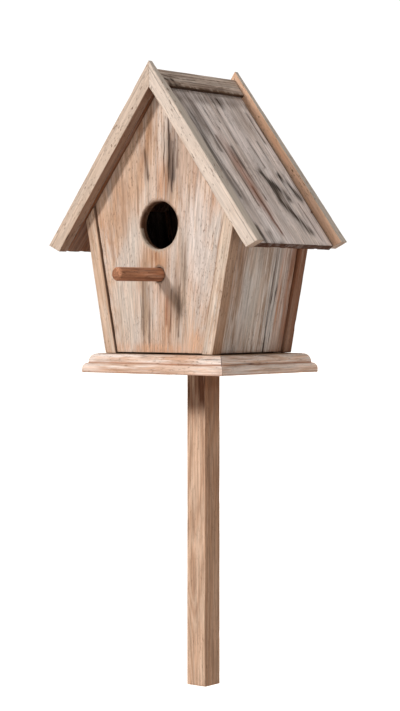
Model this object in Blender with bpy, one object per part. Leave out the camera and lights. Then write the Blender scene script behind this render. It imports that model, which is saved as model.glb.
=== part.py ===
"""Wooden birdhouse on a square pole: every board, moulding, hinge and fastener is its own object.

Frame: metres, +Z up, +X to the right of someone facing the entrance, the entrance looks along -Y.
The origin is the centre of the pole's bottom end.
"""
import math

import bmesh
import bpy
from mathutils import Matrix, Vector

MM = 0.001
GAP = 0.3 * MM                      # clearance between neighbouring pieces
HALF_GAP = 0.5 * GAP
EASE = 0.5 * MM                     # eased edge of every sawn board

# pole and base
POLE_HALF = 9.5 * MM
BASE_Z = 255.5 * MM                 # underside of the base
BASE_HALF_X = 72.8 * MM
BASE_FRONT_Y = -68.2 * MM
BASE_BACK_Y = 59.5 * MM
BASE_THICK = 15.7 * MM
MOULDING_WIDTH = 9.0 * MM
LOWER_BEAD = 8.2 * MM               # height of the lower round of the base moulding
LOWER_INSET = 3.6 * MM
TOP_INSET = 8.2 * MM
ARC_STEPS = 5

# leaning walls
WALL_Z = BASE_Z + BASE_THICK        # top of the base
WALL_HALF_X = 55.4 * MM             # half width over the corner posts at the base
WALL_LEAN = 0.2                     # outward lean of the side walls, run over rise
WALL_FRONT_Y = -58.5 * MM
WALL_BACK_Y = 45.9 * MM
POST_SIDE = 11.1 * MM
PANEL_THICK = 8.0 * MM
PANEL_RECESS = 1.5 * MM
SIDE_RECESS = 2.0 * MM
PANEL_SIDE_GAP = 0.6 * MM
FRONT_FOOT_GAP = 1.2 * MM
SIDE_FOOT_GAP = 1.0 * MM
PANEL_FRONT_Y = WALL_FRONT_Y + PANEL_RECESS
PANEL_BACK_Y = WALL_BACK_Y - PANEL_RECESS

# roof
ROOF_ANGLE = math.radians(53.3)
RIDGE_Z = BASE_Z + 249.4 * MM       # apex of the front barge boards
REAR_LIFT = 1.5 * MM                # the rear barge boards stand this much higher
ROOF_FRONT_Y = -69.7 * MM
ROOF_BACK_Y = 51.1 * MM
BARGE_WIDTH = 12.5 * MM
BARGE_THICK = 8.9 * MM
BARGE_LENGTH = 180.5 * MM
END_CUT = math.radians(24.4)        # the sawn lower end, below the horizontal
ROOF_TOP = 6.4 * MM                 # roof surface, measured square down from the barge's top edge
ROOF_UNDER = 12.4 * MM
ROOF_LENGTH = 177.7 * MM
CAP_THICK = 3.0 * MM
CAP_WIDTH = 18.0 * MM
WALL_TOP_DEPTH = ROOF_UNDER + GAP   # tops of the walls, measured like the roof surface

# entrance and perch
HOLE_RADIUS = 19.05 * MM
HOLE_Z = BASE_Z + 118.6 * MM
PERCH_RADIUS = 5.6 * MM
PERCH_Z = BASE_Z + 79.2 * MM
PERCH_TIP_Y = -108.5 * MM

# clean-out door at the back
DOOR_HALF_X = 30.0 * MM
DOOR_HALF_Z = 35.0 * MM
DOOR_Z = BASE_Z + 63.0 * MM
DOOR_CLEAR = 1.2 * MM
HINGE_X = -(DOOR_HALF_X + 0.5 * DOOR_CLEAR)
HINGE_Y = PANEL_BACK_Y + 1.9 * MM
HINGE_OFFSET_Z = 22.0 * MM
HINGE_HALF_Z = 7.0 * MM
KNUCKLE_HALF_Z = 2.7 * MM
KNUCKLE_RADIUS = 1.5 * MM
LEAF_THICK = 0.8 * MM
LEAF_WIDTH = 12.5 * MM
PIN_RADIUS = 0.6 * MM
KNOB_X = 20.0 * MM
BUTTON_X = 39.0 * MM
BUTTON_HALF_Z = 12.0 * MM
BUTTON_HALF_X = 4.0 * MM
BUTTON_THICK = 3.0 * MM
STOP_X = (26.0 * MM, 37.0 * MM)

# fasteners
POLE_SCREW_LENGTH = 42.0 * MM
FLOOR_SCREW_LENGTH = 28.0 * MM
ROOF_NAIL_LENGTH = 14.5 * MM
BARGE_NAIL_LENGTH = 16.0 * MM
BARGE_NAIL_ALONG = 92.0 * MM
HINGE_SCREW_LENGTH = 6.5 * MM
HINGE_SCREW_X = 8.0 * MM            # hinge screws, from the pin

SIN_ROOF = math.sin(ROOF_ANGLE)
COS_ROOF = math.cos(ROOF_ANGLE)
TAN_ROOF = math.tan(ROOF_ANGLE)


# ---------------------------------------------------------------- helpers
def clear_scene():
    for old in list(bpy.data.objects):
        bpy.data.objects.remove(old, do_unlink=True)


def material(name, colour, roughness, metallic=0.0):
    made = bpy.data.materials.new(name)
    made.use_nodes = True
    shader = made.node_tree.nodes["Principled BSDF"]
    shader.inputs["Base Color"].default_value = (*colour, 1.0)
    shader.inputs["Roughness"].default_value = roughness
    shader.inputs["Metallic"].default_value = metallic
    made.diffuse_color = (*colour, 1.0)
    return made


def object_from(bm, name):
    bmesh.ops.recalc_face_normals(bm, faces=bm.faces)
    mesh = bpy.data.meshes.new(name)
    bm.to_mesh(mesh)
    bm.free()
    made = bpy.data.objects.new(name, mesh)
    bpy.context.scene.collection.objects.link(made)
    return made


def add_prism(bm, near, far):
    """One closed solid between two outlines with the same number of corners."""
    low = [bm.verts.new(point) for point in near]
    high = [bm.verts.new(point) for point in far]
    count = len(low)
    bm.faces.new(list(reversed(low)))
    bm.faces.new(high)
    for here in range(count):
        after = (here + 1) % count
        bm.faces.new((low[here], low[after], high[after], high[here]))
    return low + high


def prism(name, near, far, ease=EASE):
    bm = bmesh.new()
    add_prism(bm, near, far)
    bmesh.ops.recalc_face_normals(bm, faces=bm.faces)
    if ease:
        bmesh.ops.bevel(bm, geom=list(bm.edges), offset=ease, segments=1, affect="EDGES")
    return object_from(bm, name)


def box(name, low, high, ease=EASE):
    near = [(low[0], low[1], low[2]), (high[0], low[1], low[2]),
            (high[0], low[1], high[2]), (low[0], low[1], high[2])]
    far = [(x, high[1], z) for x, _, z in near]
    return prism(name, near, far, ease)


def add_rod(bm, start, end, radius, sides=12, far_radius=None):
    start = Vector(start)
    end = Vector(end)
    turn = (end - start).to_track_quat("Z", "Y").to_matrix()
    rings = []
    for centre, size in ((start, radius), (end, far_radius or radius)):
        ring = []
        for step in range(sides):
            angle = 2.0 * math.pi * (step + 0.5) / sides
            ring.append(centre + turn @ Vector((size * math.cos(angle), size * math.sin(angle), 0.0)))
        rings.append(ring)
    add_prism(bm, rings[0], rings[1])


def add_turned(bm, start, direction, profile, sides=12):
    """A closed turned solid: profile is (distance along, radius) from one end to the other."""
    start = Vector(start)
    direction = Vector(direction).normalized()
    turn = direction.to_track_quat("Z", "Y").to_matrix()
    rings = []
    for along, radius in profile:
        ring = []
        for step in range(sides):
            angle = 2.0 * math.pi * (step + 0.5) / sides
            offset = turn @ Vector((radius * math.cos(angle), radius * math.sin(angle), along))
            ring.append(bm.verts.new(start + offset))
        rings.append(ring)
    bm.faces.new(list(reversed(rings[0])))
    bm.faces.new(rings[-1])
    for lower, upper in zip(rings, rings[1:]):
        for here in range(sides):
            after = (here + 1) % sides
            bm.faces.new((lower[here], lower[after], upper[after], upper[here]))


def bake_boolean(target, bm, operation):
    """Cut or join the solids held in bm with the target, and keep the result as plain mesh."""
    tool = object_from(bm, target.name + "_tool")
    modifier = target.modifiers.new(operation.lower(), "BOOLEAN")
    modifier.operation = operation
    modifier.solver = "EXACT"
    modifier.object = tool
    graph = bpy.context.evaluated_depsgraph_get()
    graph.update()
    baked = bpy.data.meshes.new_from_object(target.evaluated_get(graph))
    target.modifiers.clear()
    old = target.data
    target.data = baked
    bpy.data.meshes.remove(old)
    bpy.data.objects.remove(tool, do_unlink=True)


def drill(target, rods, sides=12):
    """Bore one or more round holes: each rod is (start, end, radius)."""
    bm = bmesh.new()
    for start, end, radius in rods:
        add_rod(bm, start, end, radius, sides)
    bake_boolean(target, bm, "DIFFERENCE")


def finish(made, paint, origin=None, smooth=False):
    """Give the object its material, its origin and its shading."""
    made.data.materials.clear()
    made.data.materials.append(paint)
    if origin is None:
        corners = [Vector(corner) for corner in made.bound_box]
        origin = sum(corners, Vector()) / 8.0
    made.data.transform(Matrix.Translation(-Vector(origin)))
    made.location = origin
    if smooth:
        made.data.shade_smooth()
        made.data.set_sharp_from_angle(angle=math.radians(35.0))
    return made


def carry(child, parent):
    """Fix a piece to the moving piece that carries it, without moving it."""
    child.parent = parent
    child.location = child.location - parent.location


# ---------------------------------------------------------------- fastener shapes
def add_nail(bm, head, direction, length, shank=0.6 * MM, cap=1.0 * MM):
    """A wire nail whose head top is at head."""
    profile = [(0.0, cap * 0.85), (0.2 * MM, cap), (0.6 * MM, cap), (0.6 * MM + 0.05 * MM, shank),
               (length - 1.2 * MM, shank), (length, 0.15 * MM)]
    add_turned(bm, head, direction, profile, 8)


def add_nail_bore(bm, head, direction, length, shank=0.6 * MM, cap=1.0 * MM):
    """The stepped bore that clears one nail: its sunk head and its shank."""
    profile = [(-1.5 * MM, cap + GAP), (0.9 * MM, cap + GAP), (1.2 * MM, shank + GAP),
               (length + 0.5 * MM, shank + GAP)]
    add_turned(bm, head, direction, profile, 8)


def add_screw(bm, head, direction, length, shank, cap, flat=True):
    """A wood screw: countersunk when flat, otherwise with a low domed head. No drive text or marks."""
    if flat:
        profile = [(0.0, cap), (0.4 * MM, cap), (1.9 * MM, shank), (length - 3.0 * MM, shank),
                   (length, 0.3 * MM)]
    else:
        profile = [(-1.2 * MM, cap * 0.55), (-0.8 * MM, cap * 0.88), (-0.3 * MM, cap), (0.0, cap),
                   (0.05 * MM, shank), (length - 2.0 * MM, shank), (length, 0.25 * MM)]
    add_turned(bm, head, direction, profile, 12)


def profile_hole(bm, head, direction, length, shank, cap):
    """The countersunk bore that clears one flat screw."""
    profile = [(-1.0 * MM, cap + GAP), (0.4 * MM + GAP, cap + GAP), (1.9 * MM + 1.2 * GAP, shank + GAP),
               (length + 0.6 * MM, shank + GAP)]
    add_turned(bm, head, direction, profile, 12)


# ---------------------------------------------------------------- measured lines of the house
def wall_x(z):
    """Outer face of the corner posts at height z."""
    return WALL_HALF_X + WALL_LEAN * (z - WALL_Z)


def slope_z(x, depth):
    """Height of a plane parallel to the roof, depth square below the barge's top edge."""
    return RIDGE_Z - depth / COS_ROOF - abs(x) * TAN_ROOF


def meet_roof(base_x, lean, depth):
    """Where a line leaning outward from base_x at the wall foot meets the plane at that depth."""
    rise = (slope_z(base_x, depth) - WALL_Z) / (1.0 + lean * TAN_ROOF)
    return base_x + lean * rise, WALL_Z + rise


def slope_point(side, along, depth, y):
    """A point along the roof slope from the ridge, depth square below the barge's top edge."""
    x = along * COS_ROOF - depth * SIN_ROOF
    z = RIDGE_Z - along * SIN_ROOF - depth * COS_ROOF
    return Vector((side * x, y, z))


def end_points(length, cut, top, under):
    """Along-slope positions of a board's lower end at its top and under faces."""
    lead = math.tan(math.pi / 2.0 - ROOF_ANGLE - cut)
    return length - top * lead, length - under * lead


# ---------------------------------------------------------------- pole and base
def build_pole(paint):
    low = (-POLE_HALF, -POLE_HALF, 0.0)
    high = (POLE_HALF, POLE_HALF, BASE_Z - GAP)
    made = box("pole", low, high, 0.8 * MM)
    bm = bmesh.new()
    for head in pole_screw_heads():
        profile_hole(bm, head, (0, 0, -1), POLE_SCREW_LENGTH, 1.7 * MM, 3.3 * MM)
    bake_boolean(made, bm, "DIFFERENCE")
    return finish(made, paint, (0, 0, 0))


def pole_screw_heads():
    return [Vector((0.0, side * 4.6 * MM, WALL_Z - 0.2 * MM)) for side in (-1, 1)]


def floor_screw_heads():
    heads = []
    x = WALL_HALF_X - 0.5 * POST_SIDE
    for side in (-1, 1):
        for y in (WALL_FRONT_Y + 0.5 * POST_SIDE, WALL_BACK_Y - 0.5 * POST_SIDE):
            heads.append(Vector((side * (x + 1.2 * MM), y, BASE_Z + 0.2 * MM)))
    return heads


def build_floor(paint):
    inset = MOULDING_WIDTH + HALF_GAP
    low = (-BASE_HALF_X + inset, BASE_FRONT_Y + inset, BASE_Z)
    high = (BASE_HALF_X - inset, BASE_BACK_Y - inset, WALL_Z)
    made = box("floor_board", low, high, 0.2 * MM)
    bm = bmesh.new()
    for head in pole_screw_heads():
        profile_hole(bm, head, (0, 0, -1), POLE_SCREW_LENGTH, 1.7 * MM, 3.3 * MM)
    for head in floor_screw_heads():
        profile_hole(bm, head, (0, 0, 1), FLOOR_SCREW_LENGTH, 1.6 * MM, 3.2 * MM)
    bake_boolean(made, bm, "DIFFERENCE")
    return finish(made, paint)


def moulding_profile():
    """Inset from the outer face and height: a full lower round, a fillet and an upper quarter round."""
    points = [(MOULDING_WIDTH - HALF_GAP, 0.0), (0.6 * MM, 0.0), (0.0, 0.9 * MM)]
    for step in range(ARC_STEPS + 1):
        angle = math.pi / 2.0 * step / ARC_STEPS
        inset = LOWER_INSET * (1.0 - math.cos(angle))
        height = 3.2 * MM + (LOWER_BEAD - 3.2 * MM) * math.sin(angle)
        points.append((inset, height))
    for step in range(ARC_STEPS + 1):
        angle = math.pi / 2.0 * step / ARC_STEPS
        inset = LOWER_INSET + 0.2 * MM + (TOP_INSET - LOWER_INSET) * (1.0 - math.cos(angle))
        height = LOWER_BEAD + 0.3 * MM + (BASE_THICK - LOWER_BEAD - 0.3 * MM) * math.sin(angle)
        points.append((inset, height))
    points.append((MOULDING_WIDTH - HALF_GAP, BASE_THICK))
    return points


def build_moulding(name, direction, paint):
    """One mitred length of base edge: direction is 'front', 'back', 'left' or 'right'."""
    near = []
    far = []
    for inset, height in moulding_profile():
        left = -BASE_HALF_X + inset
        right = BASE_HALF_X - inset
        front = BASE_FRONT_Y + inset
        back = BASE_BACK_Y - inset
        z = BASE_Z + height
        if direction in ("front", "back"):
            y = front if direction == "front" else back
            near.append((left + GAP, y, z))
            far.append((right - GAP, y, z))
        else:
            x = left if direction == "left" else right
            near.append((x, front + GAP, z))
            far.append((x, back - GAP, z))
    made = prism(name, near, far, 0.0)
    return finish(made, paint, None, True)


# ---------------------------------------------------------------- walls
def post_corner_y(end):
    if end == "front":
        return WALL_FRONT_Y, WALL_FRONT_Y + POST_SIDE
    return WALL_BACK_Y - POST_SIDE, WALL_BACK_Y


def roof_nails():
    """Nails through the roof boards, square to the slope, into the tops of the corner posts."""
    nails = []
    top_x, top_z = meet_roof(WALL_HALF_X - 2.0 * MM, WALL_LEAN, WALL_TOP_DEPTH)
    for side in (-1, 1):
        direction = Vector((-side * SIN_ROOF, 0.0, -COS_ROOF))
        for y in (WALL_FRONT_Y + 0.55 * POST_SIDE, WALL_BACK_Y - 0.55 * POST_SIDE):
            foot = Vector((side * top_x, y, top_z))
            nails.append((foot - direction * (WALL_TOP_DEPTH - ROOF_TOP - 0.3 * MM), direction))
    return nails


def build_post(name, side, end, paint):
    front, back = post_corner_y(end)
    foot = WALL_Z + GAP
    outer = meet_roof(WALL_HALF_X, WALL_LEAN, WALL_TOP_DEPTH)
    inner = meet_roof(WALL_HALF_X - POST_SIDE, WALL_LEAN, WALL_TOP_DEPTH)
    foot_x = wall_x(foot)
    outline = [(foot_x, foot), outer, inner, (foot_x - POST_SIDE, foot)]
    near = [(side * x, front, z) for x, z in outline]
    far = [(side * x, back, z) for x, z in outline]
    made = prism(name, near, far)
    bm = bmesh.new()
    for head, direction in roof_nails():
        if head.x * side > 0 and front < head.y < back:
            add_nail_bore(bm, head, direction, ROOF_NAIL_LENGTH)
    for head in floor_screw_heads():
        if head.x * side > 0 and front < head.y < back:
            profile_hole(bm, head, (0, 0, 1), FLOOR_SCREW_LENGTH, 1.6 * MM, 3.2 * MM)
    bake_boolean(made, bm, "DIFFERENCE")
    return finish(made, paint)


def gable_outline(foot_gap):
    foot = WALL_Z + foot_gap
    half = POST_SIDE + PANEL_SIDE_GAP
    foot_x = wall_x(foot) - half
    top_x, top_z = meet_roof(WALL_HALF_X - half, WALL_LEAN, WALL_TOP_DEPTH)
    apex = slope_z(0.0, WALL_TOP_DEPTH)
    return [(-foot_x, foot), (foot_x, foot), (top_x, top_z), (0.0, apex), (-top_x, top_z)]


def build_front_panel(paint):
    outline = gable_outline(FRONT_FOOT_GAP)
    back = PANEL_FRONT_Y + PANEL_THICK
    made = prism("front_panel", [(x, PANEL_FRONT_Y, z) for x, z in outline], [(x, back, z) for x, z in outline])
    past = 5.0 * MM
    drill(made, [((0, PANEL_FRONT_Y - past, HOLE_Z), (0, back + past, HOLE_Z), HOLE_RADIUS)], 48)
    perch_end = PANEL_FRONT_Y + PANEL_THICK + past
    drill(made, [((0, PANEL_FRONT_Y - past, PERCH_Z), (0, perch_end, PERCH_Z), PERCH_RADIUS + GAP)], 24)
    return finish(made, paint)


def build_back_panel(paint):
    outline = gable_outline(FRONT_FOOT_GAP)
    front = PANEL_BACK_Y - PANEL_THICK
    made = prism("back_panel", [(x, front, z) for x, z in outline], [(x, PANEL_BACK_Y, z) for x, z in outline])
    half_x = DOOR_HALF_X + DOOR_CLEAR
    half_z = DOOR_HALF_Z + DOOR_CLEAR
    past = 5.0 * MM
    bm = bmesh.new()
    near = [(-half_x, front - past, DOOR_Z - half_z), (half_x, front - past, DOOR_Z - half_z),
            (half_x, front - past, DOOR_Z + half_z), (-half_x, front - past, DOOR_Z + half_z)]
    add_prism(bm, near, [(x, PANEL_BACK_Y + past, z) for x, _, z in near])
    bake_boolean(made, bm, "DIFFERENCE")
    rods = []
    for head in hinge_screw_heads(-1):
        rods.append((head, head - Vector((0, HINGE_SCREW_LENGTH + 0.5 * MM, 0)), 0.8 * MM + GAP))
    button = Vector((BUTTON_X, PANEL_BACK_Y + MM, DOOR_Z))
    rods.append((button, button - Vector((0, 8.0 * MM, 0)), 1.3 * MM + GAP))
    drill(made, rods, 10)
    return finish(made, paint)


def build_side_panel(name, side, paint):
    foot = WALL_Z + SIDE_FOOT_GAP
    front = WALL_FRONT_Y + POST_SIDE + PANEL_SIDE_GAP
    back = WALL_BACK_Y - POST_SIDE - PANEL_SIDE_GAP
    outer = meet_roof(WALL_HALF_X - SIDE_RECESS, WALL_LEAN, WALL_TOP_DEPTH)
    inner = meet_roof(WALL_HALF_X - SIDE_RECESS - PANEL_THICK, WALL_LEAN, WALL_TOP_DEPTH)
    foot_x = wall_x(foot) - SIDE_RECESS
    outline = [(foot_x, foot), outer, inner, (foot_x - PANEL_THICK, foot)]
    made = prism(name, [(side * x, front, z) for x, z in outline], [(side * x, back, z) for x, z in outline])
    return finish(made, paint)


def build_perch(paint):
    bm = bmesh.new()
    length = PANEL_FRONT_Y + PANEL_THICK - 0.5 * MM - PERCH_TIP_Y
    profile = [(0.0, PERCH_RADIUS - 1.1 * MM), (0.4 * MM, PERCH_RADIUS - 0.4 * MM), (1.3 * MM, PERCH_RADIUS),
               (length - 0.8 * MM, PERCH_RADIUS), (length, PERCH_RADIUS - 0.8 * MM)]
    add_turned(bm, (0, PERCH_TIP_Y, PERCH_Z), (0, 1, 0), profile, 24)
    made = object_from(bm, "perch")
    return finish(made, paint, (0, PANEL_FRONT_Y, PERCH_Z), True)


# ---------------------------------------------------------------- roof


def barge_nails():
    """The nail of every barge board, driven along Y into the end of the roof board."""
    nails = []
    depth = 0.5 * (ROOF_TOP + ROOF_UNDER)
    for side in (-1, 1):
        for y, facing in ((ROOF_FRONT_Y + 0.3 * MM, 1), (ROOF_BACK_Y - 0.3 * MM, -1)):
            nails.append((slope_point(side, BARGE_NAIL_ALONG, depth, y), Vector((0, facing, 0))))
    return nails


def add_barge_nail_bores(bm, side, facing=None):
    for head, direction in barge_nails():
        if head.x * side > 0 and (facing is None or direction.y == facing):
            add_nail_bore(bm, head, direction, BARGE_NAIL_LENGTH)


def sloping_outline(side, length, cut, top, under):
    """Corners of a sloping board seen along Y, mitred at the ridge with a hairline gap."""
    top_end, under_end = end_points(length, cut, top, under)
    outline = [(side * HALF_GAP, slope_z(HALF_GAP, top))]
    for along, depth in ((top_end, top), (under_end, under)):
        point = slope_point(side, along, depth, 0.0)
        outline.append((point.x, point.z))
    outline.append((side * HALF_GAP, slope_z(HALF_GAP, under)))
    return outline


def build_barge(name, side, end, paint):
    outline = sloping_outline(side, BARGE_LENGTH, END_CUT, 0.0, BARGE_WIDTH)
    if end == "front":
        low, high = ROOF_FRONT_Y, ROOF_FRONT_Y + BARGE_THICK
    else:
        low, high = ROOF_BACK_Y - BARGE_THICK, ROOF_BACK_Y
        outline = [(x, z + REAR_LIFT) for x, z in outline]
    made = prism(name, [(x, low, z) for x, z in outline], [(x, high, z) for x, z in outline])
    bm = bmesh.new()
    add_barge_nail_bores(bm, side, 1 if end == "front" else -1)
    bake_boolean(made, bm, "DIFFERENCE")
    return finish(made, paint)


def build_roof_board(name, side, paint):
    outline = sloping_outline(side, ROOF_LENGTH, 0.5 * math.pi - ROOF_ANGLE, ROOF_TOP, ROOF_UNDER)
    low = ROOF_FRONT_Y + BARGE_THICK + GAP
    high = ROOF_BACK_Y - BARGE_THICK - GAP
    made = prism(name, [(x, low, z) for x, z in outline], [(x, high, z) for x, z in outline])
    bm = bmesh.new()
    add_barge_nail_bores(bm, side)
    for head, direction in roof_nails():
        if head.x * side > 0:
            add_nail_bore(bm, head, direction, ROOF_NAIL_LENGTH)
    bake_boolean(made, bm, "DIFFERENCE")
    return finish(made, paint)


def build_ridge_cap(name, side, paint):
    under = ROOF_TOP - GAP
    top = under - CAP_THICK
    lead = top * TAN_ROOF
    reach = CAP_WIDTH + lead
    outline = [(side * HALF_GAP, slope_z(HALF_GAP, top))]
    for along, depth in ((reach - 1.0 * MM, top), (reach, top + 1.0 * MM), (reach, under)):
        point = slope_point(side, along, depth, 0.0)
        outline.append((point.x, point.z))
    outline.append((side * HALF_GAP, slope_z(HALF_GAP, under)))
    low = ROOF_FRONT_Y + BARGE_THICK + GAP
    high = ROOF_BACK_Y - BARGE_THICK - GAP
    made = prism(name, [(x, low, z) for x, z in outline], [(x, high, z) for x, z in outline], 0.3 * MM)
    return finish(made, paint)


# ---------------------------------------------------------------- door


def hinge_heights():
    return [DOOR_Z + HINGE_OFFSET_Z, DOOR_Z - HINGE_OFFSET_Z]


def hinge_screw_heads(side):
    """Seats of the leaf screws: side -1 is the frame leaf, +1 the door leaf."""
    y = HINGE_Y - KNUCKLE_RADIUS - 0.1 * MM + LEAF_THICK + 0.1 * MM
    heads = []
    for height in hinge_heights():
        for offset in (-4.0 * MM, 4.0 * MM):
            heads.append(Vector((HINGE_X + side * HINGE_SCREW_X, y, height + offset)))
    return heads


def build_door(paint):
    low = (-DOOR_HALF_X, PANEL_BACK_Y - PANEL_THICK, DOOR_Z - DOOR_HALF_Z)
    high = (DOOR_HALF_X, PANEL_BACK_Y, DOOR_Z + DOOR_HALF_Z)
    made = box("cleanout_door", low, high)
    rods = []
    for head in hinge_screw_heads(1):
        rods.append((head, head - Vector((0, HINGE_SCREW_LENGTH + 0.5 * MM, 0)), 0.8 * MM + GAP))
    inside = PANEL_BACK_Y - PANEL_THICK - MM
    rods.append((Vector((KNOB_X, inside, DOOR_Z)), Vector((KNOB_X, PANEL_BACK_Y + MM, DOOR_Z)), 1.3 * MM + GAP))
    drill(made, rods, 10)
    return finish(made, paint, (HINGE_X, HINGE_Y, DOOR_Z))


def build_leaf(name, side, height, paint):
    """A hinge leaf: a plate flat on the wood and the knuckles that wrap the pin."""
    y_low = HINGE_Y - KNUCKLE_RADIUS - 0.1 * MM
    y_high = y_low + LEAF_THICK
    near_x = HINGE_X + side * (KNUCKLE_RADIUS + 0.35 * MM)
    far_x = HINGE_X + side * LEAF_WIDTH
    low = (min(near_x, far_x), y_low, height - HINGE_HALF_Z)
    high = (max(near_x, far_x), y_high, height + HINGE_HALF_Z)
    made = box(name, low, high, 0.0)
    if side > 0:
        spans = [(-KNUCKLE_HALF_Z, KNUCKLE_HALF_Z)]
    else:
        spans = [(-HINGE_HALF_Z, -KNUCKLE_HALF_Z - GAP), (KNUCKLE_HALF_Z + GAP, HINGE_HALF_Z)]
    for bottom, top in spans:
        bm = bmesh.new()
        edge = HINGE_X + side * (KNUCKLE_RADIUS + 0.6 * MM)
        root = HINGE_X + side * 0.95 * MM
        x_pair = sorted((edge, root))
        near = [(x_pair[0], y_low, height + bottom), (x_pair[1], y_low, height + bottom),
                (x_pair[1], y_high, height + bottom), (x_pair[0], y_high, height + bottom)]
        add_prism(bm, near, [(x, y, height + top) for x, y, _ in near])
        bake_boolean(made, bm, "UNION")
        bm = bmesh.new()
        add_rod(bm, (HINGE_X, HINGE_Y, height + bottom), (HINGE_X, HINGE_Y, height + top), KNUCKLE_RADIUS, 16)
        bake_boolean(made, bm, "UNION")
    past = HINGE_HALF_Z + 2.0 * MM
    bore = [(Vector((HINGE_X, HINGE_Y, height - past)), Vector((HINGE_X, HINGE_Y, height + past)),
             PIN_RADIUS + GAP)]
    drill(made, bore, 12)
    screw_bores = []
    for head in hinge_screw_heads(side):
        if abs(head.z - height) < HINGE_HALF_Z:
            lift = Vector((0, 2.0 * MM, 0))
            screw_bores.append((head + lift, head - lift, 0.8 * MM + GAP))
    drill(made, screw_bores, 10)
    return finish(made, paint, (HINGE_X, HINGE_Y, height), True)


def build_pin(name, height, paint):
    bm = bmesh.new()
    reach = HINGE_HALF_Z + 1.3 * MM
    profile = [(0.0, 0.8 * MM), (0.25 * MM, 1.15 * MM), (0.95 * MM, 1.15 * MM), (1.0 * MM, PIN_RADIUS),
               (reach + HINGE_HALF_Z + 0.3 * MM, PIN_RADIUS), (reach + HINGE_HALF_Z + 0.5 * MM, 0.4 * MM)]
    add_turned(bm, (HINGE_X, HINGE_Y, height + reach), (0, 0, -1), profile, 12)
    made = object_from(bm, name)
    return finish(made, paint, (HINGE_X, HINGE_Y, height), True)


def build_hinge_screws(side, word, paint):
    made = []
    places = [(part, end) for part in ("upper", "lower") for end in ("low", "high")]
    for (part, end), head in zip(places, hinge_screw_heads(side)):
        bm = bmesh.new()
        seat = head + Vector((0, 0.2 * MM, 0))
        add_screw(bm, seat, (0, -1, 0), HINGE_SCREW_LENGTH, 0.8 * MM, 1.9 * MM, False)
        screw = object_from(bm, part + "_hinge_" + word + "_screw_" + end)
        made.append(finish(screw, paint, seat, True))
    return made


def build_knob(paint):
    bm = bmesh.new()
    profile = [(0.0, 3.4 * MM), (0.6 * MM, 3.6 * MM), (1.4 * MM, 3.0 * MM), (3.6 * MM, 2.6 * MM),
               (5.2 * MM, 3.4 * MM), (6.6 * MM, 4.8 * MM), (8.6 * MM, 5.3 * MM), (10.4 * MM, 4.8 * MM),
               (11.8 * MM, 3.3 * MM), (12.4 * MM, 1.4 * MM)]
    start = Vector((KNOB_X, PANEL_BACK_Y + GAP, DOOR_Z))
    add_turned(bm, start, (0, 1, 0), profile, 20)
    made = object_from(bm, "door_knob")
    drill(made, [(start - Vector((0, MM, 0)), start + Vector((0, 7.4 * MM, 0)), 1.3 * MM + GAP)], 12)
    return finish(made, paint, start, True)


def build_knob_screw(paint):
    bm = bmesh.new()
    seat = Vector((KNOB_X, PANEL_BACK_Y - PANEL_THICK - GAP, DOOR_Z))
    add_screw(bm, seat, (0, 1, 0), 14.5 * MM, 1.3 * MM, 2.8 * MM, False)
    made = object_from(bm, "door_knob_screw")
    return finish(made, paint, seat, True)


def build_turn_button(paint):
    low_y = PANEL_BACK_Y + 1.2 * MM
    outline = []
    for end in (1, -1):
        for step in range(9):
            angle = math.pi * step / 8.0
            x = end * BUTTON_HALF_X * math.cos(angle)
            z = end * (BUTTON_HALF_Z - BUTTON_HALF_X + BUTTON_HALF_X * math.sin(angle))
            outline.append((BUTTON_X + x, DOOR_Z + z))
    near = [(x, low_y, z) for x, z in outline]
    far = [(x, low_y + BUTTON_THICK, z) for x, z in outline]
    made = prism("turn_button", near, far, 0.4 * MM)
    bore = [(Vector((BUTTON_X, low_y - MM, DOOR_Z)), Vector((BUTTON_X, low_y + 5.0 * MM, DOOR_Z)), 1.7 * MM)]
    drill(made, bore, 16)
    return finish(made, paint, (BUTTON_X, low_y, DOOR_Z))


def build_button_washer(paint):
    bm = bmesh.new()
    start = Vector((BUTTON_X, PANEL_BACK_Y + GAP, DOOR_Z))
    add_turned(bm, start, (0, 1, 0), [(0.0, 3.6 * MM), (0.6 * MM, 3.6 * MM)], 20)
    made = object_from(bm, "turn_button_washer")
    drill(made, [(start - Vector((0, MM, 0)), start + Vector((0, 2.0 * MM, 0)), 1.7 * MM)], 16)
    return finish(made, paint, None, True)


def build_button_screw(paint):
    bm = bmesh.new()
    seat = Vector((BUTTON_X, PANEL_BACK_Y + 1.2 * MM + BUTTON_THICK + GAP, DOOR_Z))
    add_screw(bm, seat, (0, -1, 0), 11.0 * MM, 1.3 * MM, 3.0 * MM, False)
    made = object_from(bm, "turn_button_screw")
    return finish(made, paint, seat, True)


def build_stop(paint):
    thick = 5.0 * MM
    inner = PANEL_BACK_Y - PANEL_THICK - GAP
    low = (STOP_X[0], inner - thick, DOOR_Z - 26.0 * MM)
    high = (STOP_X[1], inner, DOOR_Z + 26.0 * MM)
    return finish(box("door_stop", low, high), paint)


# ---------------------------------------------------------------- fasteners
def place_words(head):
    """Where a fastener sits, in words."""
    return ("front" if head.y < 0 else "rear") + "_" + ("left" if head.x < 0 else "right")


def build_nails(name, nails, length, paint):
    for head, direction in nails:
        bm = bmesh.new()
        add_nail(bm, head, direction, length)
        finish(object_from(bm, name + "_" + place_words(head)), paint, head, True)


def build_flat_screw(name, head, direction, length, shank, cap, paint):
    bm = bmesh.new()
    add_screw(bm, head, direction, length, shank, cap)
    finish(object_from(bm, name), paint, head, True)


# ---------------------------------------------------------------- assembly
def build_base():
    build_pole(material("pole_wood", (0.62, 0.42, 0.30), 0.85))
    build_floor(material("floor_wood", (0.60, 0.47, 0.36), 0.85))
    edge = material("base_edge_wood", (0.66, 0.50, 0.38), 0.8)
    for direction in ("front", "back", "left", "right"):
        build_moulding("base_moulding_" + direction, direction, edge)


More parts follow.
